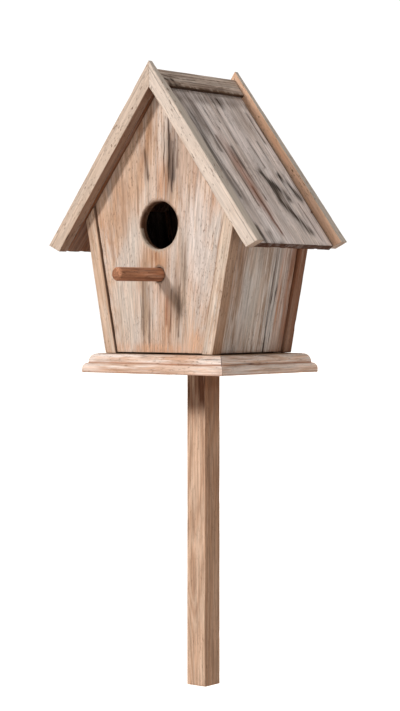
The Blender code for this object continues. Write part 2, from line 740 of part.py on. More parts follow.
def build_walls():
    post = material("post_wood", (0.70, 0.54, 0.42), 0.82)
    for end in ("front", "rear"):
        for word, side in (("left", -1), ("right", 1)):
            build_post("corner_post_" + end + "_" + word, side, end, post)
    build_front_panel(material("front_panel_wood", (0.74, 0.62, 0.52), 0.85))
    build_back_panel(material("back_panel_wood", (0.66, 0.54, 0.44), 0.85))
    wall = material("side_panel_wood", (0.48, 0.40, 0.36), 0.85)
    build_side_panel("side_panel_left", -1, wall)
    build_side_panel("side_panel_right", 1, wall)
    build_perch(material("perch_wood", (0.40, 0.22, 0.15), 0.75))


def build_roof():
    board = material("roof_board_wood", (0.40, 0.36, 0.32), 0.9)
    trim = material("barge_wood", (0.76, 0.66, 0.54), 0.82)
    cap = material("ridge_cap_wood", (0.33, 0.26, 0.21), 0.88)
    for word, side in (("left", -1), ("right", 1)):
        build_roof_board("roof_board_" + word, side, board)
        build_ridge_cap("ridge_cap_" + word, side, cap)
        for end in ("front", "rear"):
            build_barge("barge_board_" + end + "_" + word, side, end, trim)


def build_door_set():
    steel = material("hinge_steel", (0.34, 0.29, 0.25), 0.55, 0.8)
    door = build_door(material("door_wood", (0.64, 0.52, 0.42), 0.85))
    upper, lower = hinge_heights()
    carried = []
    for word, height in (("upper", upper), ("lower", lower)):
        build_leaf(word + "_hinge_frame_leaf", -1, height, steel)
        carried.append(build_leaf(word + "_hinge_door_leaf", 1, height, steel))
        build_pin(word + "_hinge_pin", height, steel)
    build_hinge_screws(-1, "frame", steel)
    carried += build_hinge_screws(1, "door", steel)
    wood = material("knob_wood", (0.42, 0.25, 0.16), 0.7)
    carried.append(build_knob(wood))
    carried.append(build_knob_screw(steel))
    for piece in carried:
        carry(piece, door)
    build_turn_button(wood)
    build_button_washer(steel)
    build_button_screw(steel)
    build_stop(material("stop_wood", (0.60, 0.48, 0.36), 0.85))


def build_fasteners():
    nail = material("nail_steel", (0.24, 0.18, 0.15), 0.6, 0.7)
    build_nails("barge_nail", barge_nails(), BARGE_NAIL_LENGTH, nail)
    build_nails("roof_nail", roof_nails(), ROOF_NAIL_LENGTH, nail)
    for head in floor_screw_heads():
        name = "floor_screw_" + place_words(head)
        build_flat_screw(name, head, (0, 0, 1), FLOOR_SCREW_LENGTH, 1.6 * MM, 3.2 * MM, nail)
    for word, head in zip(("front", "rear"), pole_screw_heads()):
        build_flat_screw("pole_screw_" + word, head, (0, 0, -1), POLE_SCREW_LENGTH, 1.7 * MM, 3.3 * MM, nail)


def main():
    clear_scene()
    build_base()
    build_walls()
    build_roof()
    build_door_set()
    build_fasteners()


main()
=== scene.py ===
import math

import bmesh
import bpy
import numpy as np
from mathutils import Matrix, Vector


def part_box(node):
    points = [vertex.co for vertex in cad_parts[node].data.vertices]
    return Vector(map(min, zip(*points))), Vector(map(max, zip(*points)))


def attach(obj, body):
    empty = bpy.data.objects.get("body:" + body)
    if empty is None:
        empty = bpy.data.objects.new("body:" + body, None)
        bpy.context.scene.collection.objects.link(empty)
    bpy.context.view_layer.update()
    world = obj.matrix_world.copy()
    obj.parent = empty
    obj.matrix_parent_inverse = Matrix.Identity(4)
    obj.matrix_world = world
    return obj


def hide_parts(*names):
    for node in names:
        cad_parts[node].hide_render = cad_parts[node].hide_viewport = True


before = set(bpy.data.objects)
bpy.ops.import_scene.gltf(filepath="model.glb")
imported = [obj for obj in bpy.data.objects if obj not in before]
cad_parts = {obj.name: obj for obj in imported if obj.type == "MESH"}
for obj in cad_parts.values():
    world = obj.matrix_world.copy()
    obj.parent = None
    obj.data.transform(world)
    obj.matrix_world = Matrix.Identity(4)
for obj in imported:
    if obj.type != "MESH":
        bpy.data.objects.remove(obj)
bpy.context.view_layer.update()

MM = 0.001
GAP = 0.3 * MM
MITRE_GAP = 0.08 * MM
FOOT_CLEAR = 0.15 * MM
THROUGH_PITCH = 2.2 * MM
WALL_TOP_DEPTH = 12.7 * MM
POST_OUTER_X = 55.4 * MM
POST_THICK = 11.1 * MM
ENTRANCE_UP = 118.6 * MM
ENTRANCE_RADIUS = 19.05 * MM
PERCH_HOLE_RADIUS = 5.95 * MM
WORDS = {-1: "left", 1: "right"}
ROOF_ANGLE = math.radians(53.3)
SIN_ROOF = math.sin(ROOF_ANGLE)
COS_ROOF = math.cos(ROOF_ANGLE)
TAN_ROOF = math.tan(ROOF_ANGLE)
WALL_LEAN = 0.2

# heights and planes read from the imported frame
FLOOR_LOW, FLOOR_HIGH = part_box("floor_board")
BASE_Z = FLOOR_LOW.z
WALL_Z = FLOOR_HIGH.z
PANEL_LOW, PANEL_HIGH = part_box("front_panel")
BACK_LOW, BACK_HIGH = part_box("back_panel")
PERCH_LOW, PERCH_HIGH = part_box("perch")
DOOR_LOW, DOOR_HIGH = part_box("cleanout_door")
RIDGE_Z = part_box("barge_board_front_right")[1].z

HOUSE = "house"
SUN_FROM = Vector((-0.45, -1.0, 0.56))


def srgb(code):
    """Linear colour of a six-figure hex colour."""
    out = []
    for start in (0, 2, 4):
        value = int(code[start:start + 2], 16) / 255.0
        out.append(value / 12.92 if value <= 0.04045 else ((value + 0.055) / 1.055) ** 2.4)
    return tuple(out)


# ---------------------------------------------------------------- repeatable noise
def lattice(ix, iy, iz, seed):
    mask = np.uint64(0xFFFFFFFF)
    total = (ix.astype(np.int64) * 374761393 + iy.astype(np.int64) * 668265263
             + iz.astype(np.int64) * 1440662683 + seed * 1274126177)
    word = total.astype(np.uint64) & mask
    word = ((word ^ (word >> np.uint64(13))) * np.uint64(1274126177)) & mask
    word = ((word ^ (word >> np.uint64(15))) * np.uint64(2246822519)) & mask
    return (word ^ (word >> np.uint64(16))).astype(np.float64) / float(0xFFFFFFFF)


def noise(points, scale, seed):
    """Smooth value noise from 0 to 1 at points stretched by scale."""
    grid = points * np.asarray(scale, float)
    cell = np.floor(grid)
    part = grid - cell
    part = part * part * (3.0 - 2.0 * part)
    total = np.zeros(len(points))
    for corner in range(8):
        step = [(corner >> axis) & 1 for axis in range(3)]
        weight = np.ones(len(points))
        for axis in range(3):
            weight *= part[:, axis] if step[axis] else 1.0 - part[:, axis]
        total += weight * lattice(cell[:, 0] + step[0], cell[:, 1] + step[1], cell[:, 2] + step[2], seed)
    return total


# ---------------------------------------------------------------- mesh of one weathered board
def edge_lines(half, radius, pitch, extra=()):
    """Grid lines from -half to +half, crowded at both ends so that the arris is round."""
    rim = [half - part * radius for part in (0.0, 0.3, 0.7, 1.2)]
    inner = half - 1.2 * radius
    count = max(1, int(round(2.0 * inner / pitch)))
    middle = list(np.linspace(-inner, inner, count + 1)[1:-1])
    lines = sorted([-value for value in rim] + rim + middle + [e for e in extra if abs(e) < inner])
    kept = [lines[0]]
    for value in lines[1:]:
        if value - kept[-1] > 0.02 * MM:
            kept.append(value)
    return np.array(kept)


def block_grid(lines):
    """Vertices and quads of a closed box surface whose grid lines are given on three axes."""
    counts = [len(line) for line in lines]
    index = -np.ones(counts, int)
    surface = np.zeros(counts, bool)
    for axis in range(3):
        for end in (0, counts[axis] - 1):
            place = [slice(None)] * 3
            place[axis] = end
            surface[tuple(place)] = True
    index[surface] = np.arange(surface.sum())
    where = np.argwhere(surface)
    points = np.stack([lines[axis][where[:, axis]] for axis in range(3)], 1)
    quads = []
    for axis in range(3):
        for end in (0, counts[axis] - 1):
            place = [slice(None)] * 3
            place[axis] = end
            face = index[tuple(place)]
            ring = np.stack([face[:-1, :-1], face[1:, :-1], face[1:, 1:], face[:-1, 1:]], -1).reshape(-1, 4)
            flip = (end == 0) == (axis != 1)
            quads.append(ring[:, ::-1] if flip else ring)
    return points, np.concatenate(quads)


def mesh_object(name, points, quads):
    mesh = bpy.data.meshes.new(name)
    mesh.vertices.add(len(points))
    mesh.vertices.foreach_set("co", np.asarray(points, np.float32).ravel())
    sizes = np.array([len(quad) for quad in quads]) if isinstance(quads, list) else np.full(len(quads), 4)
    flat = np.concatenate([np.asarray(quad) for quad in quads]) if isinstance(quads, list) else quads.ravel()
    mesh.loops.add(int(sizes.sum()))
    mesh.loops.foreach_set("vertex_index", flat.astype(np.int32))
    mesh.polygons.add(len(sizes))
    mesh.polygons.foreach_set("loop_start", (np.cumsum(sizes) - sizes).astype(np.int32))
    mesh.update(calc_edges=True)
    mesh.validate()
    mesh.shade_smooth()
    made = bpy.data.objects.new(name, mesh)
    bpy.context.scene.collection.objects.link(made)
    return made


def ring_mesh(name, rings, sharp_angle):
    """A closed mesh through rings of points, capped at both ends, sharp beyond an angle in degrees."""
    count = len(rings[0])
    quads = [list(range(count))[::-1], [(len(rings) - 1) * count + here for here in range(count)]]
    for row in range(len(rings) - 1):
        for here in range(count):
            after = (here + 1) % count
            quads.append([row * count + here, row * count + after, (row + 1) * count + after,
                          (row + 1) * count + here])
    made = mesh_object(name, np.concatenate(rings), quads)
    bm = bmesh.new()
    bm.from_mesh(made.data)
    bmesh.ops.recalc_face_normals(bm, faces=bm.faces)
    bm.to_mesh(made.data)
    bm.free()
    made.data.shade_smooth()
    made.data.set_sharp_from_angle(angle=math.radians(sharp_angle))
    return made


def set_attributes(made, grain, edge, tint):
    """Grain position in metres, worn-edge share, and a painted tint with its strength."""
    mesh = made.data
    place = mesh.attributes.new("grain", "FLOAT_VECTOR", "POINT")
    place.data.foreach_set("vector", np.asarray(grain, np.float32).ravel())
    rim = mesh.attributes.new("edge", "FLOAT", "POINT")
    rim.data.foreach_set("value", np.asarray(edge, np.float32))
    paint = mesh.attributes.new("tint", "FLOAT_COLOR", "POINT")
    paint.data.foreach_set("color", np.asarray(tint, np.float32).ravel())


def lay(tint, share, code):
    """Lay one stain over a painted tint, share being its cover from 0 to 1."""
    share = np.clip(share, 0.0, 1.0)
    old = tint[:, 3] * (1.0 - share)
    total = np.maximum(old + share, 1e-6)
    tint[:, :3] = (tint[:, :3] * old[:, None] + np.array(srgb(code)) * share[:, None]) / total[:, None]
    tint[:, 3] = old + share


def blank_tint(count):
    tint = np.zeros((count, 4))
    tint[:, :3] = 0.3
    return tint


def flat_spots(flat):
    return np.stack([flat[:, 0], flat[:, 1], np.zeros(len(flat))], 1) * MM


def paint_patches(tint, flat, patches, seed):
    """Soft streaky stains and painted shade, each (centre, radii, colour, strength) in mm on a flattened
    side.
    """
    spots = flat_spots(flat)
    for number, (centre, radii, code, strength) in enumerate(patches):
        away = ((flat[:, 0] - centre[0]) / radii[0]) ** 2 + ((flat[:, 1] - centre[1]) / radii[1]) ** 2
        fine = noise(spots, (900.0, 60.0, 1.0), seed + 31 * number)
        broad = noise(spots, (240.0, 26.0, 1.0), seed + 31 * number + 7)
        ragged = np.clip(0.25 + 1.0 * fine + 0.9 * (broad - 0.4), 0.0, 1.0)
        lay(tint, np.exp(-away ** 1.4) * strength * ragged, code)


def paint_strokes(tint, flat, strokes, seed):
    """Narrow ragged marks along lines of points, each (points, half width, colour, strength) in mm."""
    spots = flat_spots(flat)
    for number, (line, wide, code, strength) in enumerate(strokes):
        nearest = np.full(len(flat), 1e6)
        for start, stop in zip(line, line[1:]):
            run = np.subtract(stop, start)
            share = np.clip(((flat - start) @ run) / (run @ run), 0.0, 1.0)
            gap = flat - start - share[:, None] * run
            nearest = np.minimum(nearest, np.hypot(gap[:, 0], gap[:, 1]))
        fine = noise(spots, (760.0, 70.0, 1.0), seed + 17 * number)
        broad = noise(spots, (260.0, 110.0, 1.0), seed + 17 * number + 5)
        reach = wide * (0.25 + 0.75 * fine + 0.9 * broad)
        lay(tint, np.exp(-(nearest / reach) ** 2) * strength * np.clip(0.35 + 1.1 * fine, 0.0, 1.0), code)


def place_piece(made, node, body, material):
    """Give a finished piece its material and let it stand for its CAD node."""
    made.data.materials.append(material)
    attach(made, body)
    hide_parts(node)


def board(name, size, shape, seed, pitch=(3.0, 0.9), radius=0.9, fibre=0.10, wave=0.12, nick=0.5,
          end_rough=0.2, cracks=(), patches=(), flat=None, faces=(), sharp_start=False, body=HOUSE,
          material=None, slot=None, strokes=()):
    """One weathered board. size is (along the grain, across, thick) in metres and shape maps
    positions in that box, from -1 to 1 on each axis, to the row frame. Lengths in options are mm.
    cracks are (place across, half width, start, stop, depth). faces are (axis, sign, colour,
    strength), a colour laid over one whole side, used for stains, painted shade and painted
    light. sharp_start keeps the low end crisp, for a mitre."""
    half = np.array(size) / 2.0
    turn = min(radius * MM, 0.42 * min(size))
    crack_lines = [at + side * wide * MM for at, wide, *_ in cracks for side in (-1.0, -0.5, 0.0, 0.5, 1.0)]
    lines = [edge_lines(half[0], turn, pitch[0] * MM), edge_lines(half[1], turn, pitch[1] * MM, crack_lines),
             edge_lines(half[2], turn, THROUGH_PITCH)]
    points, quads = block_grid(lines)
    # the same noise never falls on two boards in the same place
    local = points + np.array([seed * 0.731 % 3.0, seed * 0.417 % 2.0, seed * 0.273 % 1.0])
    keep = np.clip((points[:, 0] + half[0]) / (6.0 * MM), 0.04, 1.0) if sharp_start else np.ones(len(points))

    # rounded arris, more worn in some places than in others
    wear = (0.55 + 0.45 * noise(local, (70.0, 200.0, 200.0), seed)) * keep
    reach = np.minimum(turn * wear, half.min() * 0.9)[:, None]
    core = np.clip(points, -(half - reach), half - reach)
    away = points - core
    outward = away / np.maximum(np.linalg.norm(away, axis=1, keepdims=True), 1e-9)
    moved = core + outward * reach

    # relief in mm: raised fibres, long waves, nicks on the edges, torn end grain and drying cracks
    on_edge = (np.sort(np.abs(outward), axis=1)[:, 1] > 0.15).astype(float)
    lift = 0.10 - fibre * noise(local, (22.0, 420.0, 420.0), seed + 1)
    lift -= wave * noise(local, (9.0, 70.0, 70.0), seed + 2)
    lift -= on_edge * nick * np.clip(noise(local, (90.0, 160.0, 160.0), seed + 3) - 0.55, 0.0, 1.0) * 2.2
    at_end = np.abs(outward[:, 0]) > 0.6
    lift -= at_end * end_rough * noise(local, (60.0, 620.0, 420.0), seed + 4)
    lift *= keep
    slit = np.zeros(len(points))
    for at, wide, start, stop, deep in cracks:
        wobble = wide * MM * 0.35 * np.sin(points[:, 0] * 330.0 + at * 9000.0)
        nearness = np.clip(1.0 - np.abs(points[:, 1] - at - wobble) / (wide * MM), 0.0, 1.0)
        fade_in = np.clip((points[:, 0] - start) / 0.008, 0.0, 1.0)
        fade_out = np.clip((stop - points[:, 0]) / 0.012, 0.0, 1.0)
        broken = np.clip(2.2 * noise(local, (55.0, 30.0, 30.0), seed + 9) - 0.3, 0.25, 1.0)
        here = nearness * (fade_in * fade_out) * broken * (outward[:, 2] > 0.5)
        lift -= deep * here
        slit = np.maximum(slit, here * min(1.0, 0.5 + 0.6 * deep))
    moved = moved + outward * lift[:, None] * MM
    world = shape(*(moved / half).T)
    made = mesh_object(name, world, quads)

    edge = np.clip(1.0 - np.sort(half - np.abs(points), axis=1)[:, 1] / (2.6 * MM), 0.0, 1.0)
    tint = blank_tint(len(points))
    if patches:
        paint_patches(tint, flat(world), patches, seed + 50)
        paint_strokes(tint, flat(world), strokes, seed + 70)
    for axis, sign, code, strength in faces:
        share = np.clip((outward[:, axis] * sign - 0.35) / 0.4, 0.0, 1.0) * strength
        lay(tint, share * (0.75 + 0.35 * noise(local, (30.0, 300.0, 300.0), seed + 12)), code)
    lay(tint, slit, "2A1D15")
    set_attributes(made, local, edge, tint)
    place_piece(made, name, body, material)
    return made


# ---------------------------------------------------------------- node helpers for materials
class Wire:
    """A shader value that adds, subtracts and multiplies through Math nodes."""

    def __init__(self, graph, socket):
        self.graph = graph
        self.socket = socket

    def __add__(self, other):
        return self.graph.math("ADD", self, other)

    def __sub__(self, other):
        return self.graph.math("SUBTRACT", self, other)

    def __mul__(self, other):
        return self.graph.math("MULTIPLY", self, other)


class Graph:
    """Small helper that adds shader nodes and links them."""

    def __init__(self, name):
        self.material = bpy.data.materials.new(name)
        self.material.use_nodes = True
        self.tree = self.material.node_tree
        self.shader = self.tree.nodes["Principled BSDF"]

    def add(self, kind):
        return self.tree.nodes.new("ShaderNode" + kind)

    def link(self, source, target):
        self.tree.links.new(source.socket, target)

    def feed(self, socket, value):
        if isinstance(value, Wire):
            self.link(value, socket)
        elif isinstance(value, tuple):
            socket.default_value = (*value[:3], 1.0)
        else:
            socket.default_value = value

    def attribute(self, name, output="Vector"):
        node = self.add("Attribute")
        node.attribute_name = name
        return Wire(self, node.outputs[output])

    def object_place(self):
        return Wire(self, self.add("TexCoord").outputs["Object"])

    def length(self, vector):
        node = self.add("VectorMath")
        node.operation = "LENGTH"
        self.link(vector, node.inputs[0])
        return Wire(self, node.outputs["Value"])

    def noise(self, vector, scale, detail=3.0, rough=0.55, twist=0.0, offset=(0.0, 0.0, 0.0)):
        stretch = self.add("Mapping")
        stretch.inputs["Scale"].default_value = scale
        stretch.inputs["Location"].default_value = offset
        self.link(vector, stretch.inputs["Vector"])
        node = self.add("TexNoise")
        for name, value in (("Scale", 1.0), ("Detail", detail), ("Roughness", rough), ("Distortion", twist)):
            node.inputs[name].default_value = value
        self.link(Wire(self, stretch.outputs["Vector"]), node.inputs["Vector"])
        return Wire(self, node.outputs["Fac"])

    def math(self, operation, first, second=0.0):
        node = self.add("Math")
        node.operation = operation
        self.feed(node.inputs[0], first)
        self.feed(node.inputs[1], second)
        return Wire(self, node.outputs["Value"])

    def ramp(self, factor, low, high, low_out=0.0, high_out=1.0):
        node = self.add("MapRange")
        node.interpolation_type = "SMOOTHSTEP"
        limits = (("From Min", low), ("From Max", high), ("To Min", low_out), ("To Max", high_out))
        for name, value in limits:
            node.inputs[name].default_value = value
        self.link(factor, node.inputs["Value"])
        return Wire(self, node.outputs["Result"])

    def mix(self, factor, first, second, blend="MIX"):
        node = self.add("Mix")
        node.data_type = "RGBA"
        node.blend_type = blend
        for socket, value in zip((node.inputs[0], node.inputs[6], node.inputs[7]), (factor, first, second)):
            self.feed(socket, value)
        return Wire(self, node.outputs[2])

    def grey(self, value):
        node = self.add("CombineColor")
        for socket in node.inputs:
            self.link(value, socket)
        return Wire(self, node.outputs["Color"])

    def bump(self, height, distance, strength=1.0):
        node = self.add("Bump")
        node.inputs["Strength"].default_value = strength
        node.inputs["Distance"].default_value = distance
        self.link(height, node.inputs["Height"])
        self.link(Wire(self, node.outputs["Normal"]), self.shader.inputs["Normal"])


def wood(name, raw_dark, raw_light, wash, wash_range, crack=0.012, crack_gate=0.55, ring=9.0, pore=0.5,
         edge_colour=None, edge_share=0.3, streak_scale=170.0, bump=0.5, rough=0.8, dirt=0.5,
         contrast=1.0, streaky=0.5):
    """Weathered wood: growth rings and fibres in the raw colours, worn whitewash over them, and
    drying cracks, specks and dirt on top. Scales are per metre, along and across the grain."""
    g = Graph(name)
    place = g.attribute("grain")
    edge = g.attribute("edge", "Fac")
    streak = g.noise(place, (9.0, streak_scale, streak_scale), 6.0, 0.68, 0.25)
    fibre = g.noise(place, (38.0, 800.0, 800.0), 4.0, 0.7)
    cloud = g.noise(place, (14.0, 42.0, 42.0), 4.0, 0.65, 0.4, (3.1, 1.7, 0.4))
    contour = g.noise(place, (3.4, 26.0, 26.0), 2.0, 0.4, 0.3, (0.7, 5.1, 2.2))
    rings = g.math("PINGPONG", contour * ring, 0.5) * 2.0
    grown = g.ramp(streak * 0.55 + rings * 0.20 + fibre * 0.40, 0.36, 0.80)
    raw = g.mix(grown, srgb(raw_dark), srgb(raw_light))

    # worn whitewash, thinner along the edges
    worn = streak * streaky + cloud * (1.0 - streaky) + (fibre - 0.5) * 0.40 - edge * 0.05
    cover = g.ramp(worn, *wash_range)
    chalk = g.mix(g.ramp(cloud, 0.3, 0.7), srgb(wash), tuple(value * 0.86 for value in srgb(wash)))
    colour = g.mix(cover, raw, chalk)
    if edge_colour:
        colour = g.mix(g.ramp(edge, 0.25, 1.0) * edge_share, colour, srgb(edge_colour))

    # painted stains and painted shade from the tint attribute, grime, specks, splits and pits
    share = g.attribute("tint", "Alpha") * g.ramp(streak + fibre * 0.3, 0.35, 0.8, 0.80, 1.15)
    colour = g.mix(g.math("MINIMUM", share, 1.0), colour, g.attribute("tint", "Color"))
    grime = g.noise(place, (24.0, 520.0, 520.0), 4.0, 0.75, 0.3, (6.0, 3.0, 1.0))
    shade = g.ramp(grime, 0.34, 0.66, 1.0 - 0.42 * contrast, 1.0 + 0.10 * contrast)
    colour = g.mix(1.0, colour, g.grey(shade), "MULTIPLY")
    speck = g.noise(place, (210.0, 700.0, 700.0), 3.0, 0.7, 0.2, (2.0, 7.0, 4.0))
    patch = g.noise(place, (26.0, 60.0, 60.0), 2.0, 0.5, 0.0, (5.0, 1.0, 8.0))
    specks = g.ramp(speck, 0.56, 0.68) * g.ramp(patch, 0.36, 0.60)
    colour = g.mix(specks * dirt, colour, srgb("6B4C36"))
    line = g.noise(place, (6.0, 150.0, 150.0), 2.0, 0.5, 0.1, (9.0, 2.0, 5.0))
    gate = g.noise(place, (10.0, 60.0, 60.0), 2.0, 0.5, 0.0, (1.0, 8.0, 3.0))
    split = g.ramp(g.math("ABSOLUTE", line - 0.5), 0.0, crack, 1.0, 0.0)
    split = split * g.ramp(gate, crack_gate, crack_gate + 0.1)
    colour = g.mix(split * 0.85, colour, srgb("3A291E"))
    pits = g.ramp(g.noise(place, (160.0, 900.0, 900.0), 1.0, 0.5, 0.0, (4.0, 4.0, 4.0)), 0.70, 0.78)
    colour = g.mix(pits * pore, colour, srgb("5A4030"))
    g.link(colour, g.shader.inputs["Base Color"])
    g.link(g.ramp(fibre, 0.2, 0.8, rough + 0.08, rough - 0.1), g.shader.inputs["Roughness"])
    g.shader.inputs["Specular IOR Level"].default_value = 0.25
    height = fibre * 0.7 + streak * 0.9 + cover * 0.25 + grime * 0.5 - split * 1.6
    g.bump(height - g.math("MAXIMUM", pits, specks) * 0.6, 0.0006, bump)
    return g.material


def metal(name, base, rust, share, rough):
    """Dull steel with patches of rust and fine scratches."""
    g = Graph(name)
    place = g.object_place()
    blotch = g.noise(place, (420.0, 420.0, 420.0), 5.0, 0.65)
    scratch = g.noise(place, (300.0, 300.0, 4200.0), 2.0, 0.6)
    rusty = g.ramp(blotch, 0.62 - share, 0.72 - share)
    colour = g.mix(scratch * 0.25, g.mix(rusty, srgb(base), srgb(rust)), srgb("1E1814"))
    g.link(colour, g.shader.inputs["Base Color"])
    g.link(g.ramp(rusty, 0.0, 1.0, 0.85, 0.1), g.shader.inputs["Metallic"])
    g.link(g.ramp(blotch, 0.3, 0.7, rough, rough + 0.3), g.shader.inputs["Roughness"])
    g.bump(blotch + scratch * 0.4, 0.0001, 0.5)
    return g.material


def plain_wood(name, dark, light):
    """Stained wood for a small CAD piece, grain along Z."""
    g = Graph(name)
    place = g.object_place()
    fibre = g.noise(place, (1800.0, 1800.0, 90.0), 2.0, 0.6)
    body = g.noise(place, (500.0, 500.0, 40.0), 4.0, 0.6) * 0.7 + fibre * 0.3
    g.link(g.mix(g.ramp(body, 0.3, 0.7), srgb(dark), srgb(light)), g.shader.inputs["Base Color"])
    g.link(g.ramp(fibre, 0.2, 0.8, 0.8, 0.6), g.shader.inputs["Roughness"])
    g.bump(body, 0.0003, 0.5)
    return g.material


# ---------------------------------------------------------------- shapes of the boards
def straight(low, high, axes):
    """Shape of an upright box; axes says which row axis the grain, the width and the depth follow."""
    def shape(a, b, c):
        out = np.zeros((len(a), 3))
        for value, axis in zip((a, b, c), axes):
            sign = -1.0 if axis < 0 else 1.0
            row = abs(axis) - 1
            middle = (low[row] + high[row]) / 2.0
            out[:, row] = middle + sign * value * (high[row] - low[row]) / 2.0
        return out
    return shape


def ruled(corners):
    """Shape from eight corners, corners[i][j][k] with i along the grain, j across and k through."""
    grid = np.array(corners, float)

    def shape(a, b, c):
        weights = [((1.0 - value) / 2.0, (1.0 + value) / 2.0) for value in (a, b, c)]
        out = np.zeros((len(a), 3))
        for i in range(2):
            for j in range(2):
                for k in range(2):
                    out += (weights[0][i] * weights[1][j] * weights[2][k])[:, None] * grid[i][j][k]
        return out
    return shape


def roof_height(x, depth):
    return RIDGE_Z - depth / COS_ROOF - abs(x) * TAN_ROOF


def slope_point(side, along, depth, y):
    x = along * COS_ROOF - depth * SIN_ROOF
    return [side * x, y, RIDGE_Z - along * SIN_ROOF - depth * COS_ROOF]


def slope_corner(side, along, depth, y):
    """Corner of a roof piece: beside the mitre at the ridge where along is 0, else down the slope."""
    if along:
        return slope_point(side, along, depth, y)
    return [side * GAP / 2.0, y, roof_height(GAP / 2.0, depth)]


def front_flat(world):
    return np.stack([world[:, 0] / MM, (world[:, 2] - BASE_Z) / MM], 1)


def side_flat(world):
    facing = np.where(world[:, 0] > 0.0, 1.0, -1.0)
    return np.stack([facing * world[:, 1] / MM, (world[:, 2] - BASE_Z) / MM], 1)


def slope_flat(world, facing=1.0):
    """Depth from the middle and distance down the slope."""
    return np.stack([facing * world[:, 1] / MM, np.abs(world[:, 0]) / COS_ROOF / MM], 1)


# ---------------------------------------------------------------- materials
def make_materials():
    return {
        "barge": wood("barge_paint", "C4AA96", "DECAB9", "E6D6C9", (0.20, 0.52), 0.005, 0.70, 8.0, 0.9,
                      "C2AC98", 0.2, 300.0, 0.7, dirt=1.0, contrast=0.45, streaky=0.2),
        "front": wood("front_wash", "B88D70", "E2C4AC", "EADCD2", (0.36, 0.70), 0.010, 0.62, 8.0, 0.45,
                      "C4A28A", 0.25, 340.0, 0.6, dirt=0.6, contrast=0.70, streaky=0.25),
        "post": wood("post_wash", "BF9D84", "E0C8B4", "E9DCD0", (0.42, 0.68), 0.010, 0.66, 7.0, 0.5,
                     "C6A78F", 0.3, 220.0, 0.55, dirt=0.8, contrast=0.65, streaky=0.4),
        "side": wood("side_wash", "AE917C", "DAC4B4", "EEE6E1", (0.40, 0.60), 0.014, 0.54, 12.0, 0.4,
                     "A08470", 0.3, 260.0, 0.6, contrast=0.8, streaky=0.35),
        "roof": wood("roof_grey", "B9A79D", "E8DAD2", "F8EFED", (0.34, 0.68), 0.012, 0.56, 10.0, 0.5,
                     "9C8C80", 0.35, 340.0, 0.9, 0.85, dirt=0.4, contrast=0.85, streaky=0.25),
        "cap": wood("cap_grey", "A08C7E", "D2C2B6", "DED2C8", (0.50, 0.72), 0.016, 0.52, 8.0, 0.6,
                    "8E7A66", 0.35, 200.0, 0.9, 0.85, contrast=1.1),
        "base": wood("base_wash", "D2AA90", "FADFCD", "FFF3EC", (0.38, 0.60), 0.014, 0.56, 16.0, 0.35,
                     "DDBAA0", 0.3, 150.0, 0.6, dirt=0.6, contrast=0.6),
        "floor": wood("floor_wash", "A98668", "CDAE92", "D8C4B2", (0.5, 0.7)),
        "pole": wood("pole_planed", "BC957A", "DFC0A8", "E6D0BC", (0.58, 0.78), 0.006, 0.72, 16.0, 0.35,
                     "AE8668", 0.3, 260.0, 0.45, dirt=0.4, contrast=0.8),
        "perch": wood("perch_stain", "9A6549", "D0936F", "D6AC94", (0.56, 0.74), 0.012, 0.6,
                      streak_scale=220.0, bump=0.7, rough=0.75, dirt=0.8, contrast=1.1),
        "knob": wood("knob_stain", "5E3623", "8C5A3E", "94705C", (0.66, 0.82)),
        "button": plain_wood("button_stain", "5E3623", "8C5A3E"),
        "steel": metal("hinge_metal", "7A726A", "6B3D22", 0.10, 0.38),
        "nail": metal("nail_metal", "4A403A", "5A321D", 0.22, 0.55),
    }


# ---------------------------------------------------------------- walls
def gable(low, high):
    """Shape of a gable panel: straight foot and leaning sides, sloping top, grain upright."""
    apex_z = high.z
    top_x = high.x
    top_z = apex_z - top_x * TAN_ROOF
    foot_x = top_x - WALL_LEAN * (top_z - low.z)
    middle_y = (low.y + high.y) / 2.0
    half_y = (high.y - low.y) / 2.0
    facing = -1.0 if middle_y < 0.0 else 1.0

    def shape(a, b, c):
        rise = (a + 1.0) / 2.0
        head_z = apex_z - np.abs(b) * (apex_z - top_z)
        out = np.zeros((len(a), 3))
        out[:, 0] = b * (foot_x + (top_x - foot_x) * rise)
        out[:, 1] = middle_y + facing * c * half_y
        out[:, 2] = low.z + (head_z - low.z) * rise
        return out
    return shape


def cutter(name, bm, seed, bore_wood_and_shade_tint):
    """A closed cutting solid that carries the same surface attributes as the boards."""
    mesh = bpy.data.meshes.new(name)
    bmesh.ops.recalc_face_normals(bm, faces=bm.faces)
    bm.to_mesh(mesh)
    bm.free()
    made = bpy.data.objects.new(name, mesh)
    bpy.context.scene.collection.objects.link(made)
    points = np.array([vertex.co for vertex in mesh.vertices])
    grain = np.stack([points[:, 2], points[:, 0], points[:, 1]], 1) + seed * 0.31
    # the cut faces take the bore's dark colour: bare cut wood with painted shade
    tint = np.tile((*srgb(bore_wood_and_shade_tint), 0.85), (len(points), 1))
    set_attributes(made, grain, np.ones(len(points)), tint)
    return made


def carve(target, tool):
    """Cut the tool's solid out of the target and keep the result as its mesh."""
    tool.data.materials.append(target.data.materials[0])
    change = target.modifiers.new("carve", "BOOLEAN")
    change.operation = "DIFFERENCE"
    change.solver = "EXACT"
    change.object = tool
    graph = bpy.context.evaluated_depsgraph_get()
    graph.update()
    cut = bpy.data.meshes.new_from_object(target.evaluated_get(graph))
    target.modifiers.clear()
    target.data = cut
    bpy.data.objects.remove(tool, do_unlink=True)
    cut.shade_smooth()
    cut.set_sharp_from_angle(angle=math.radians(50.0))


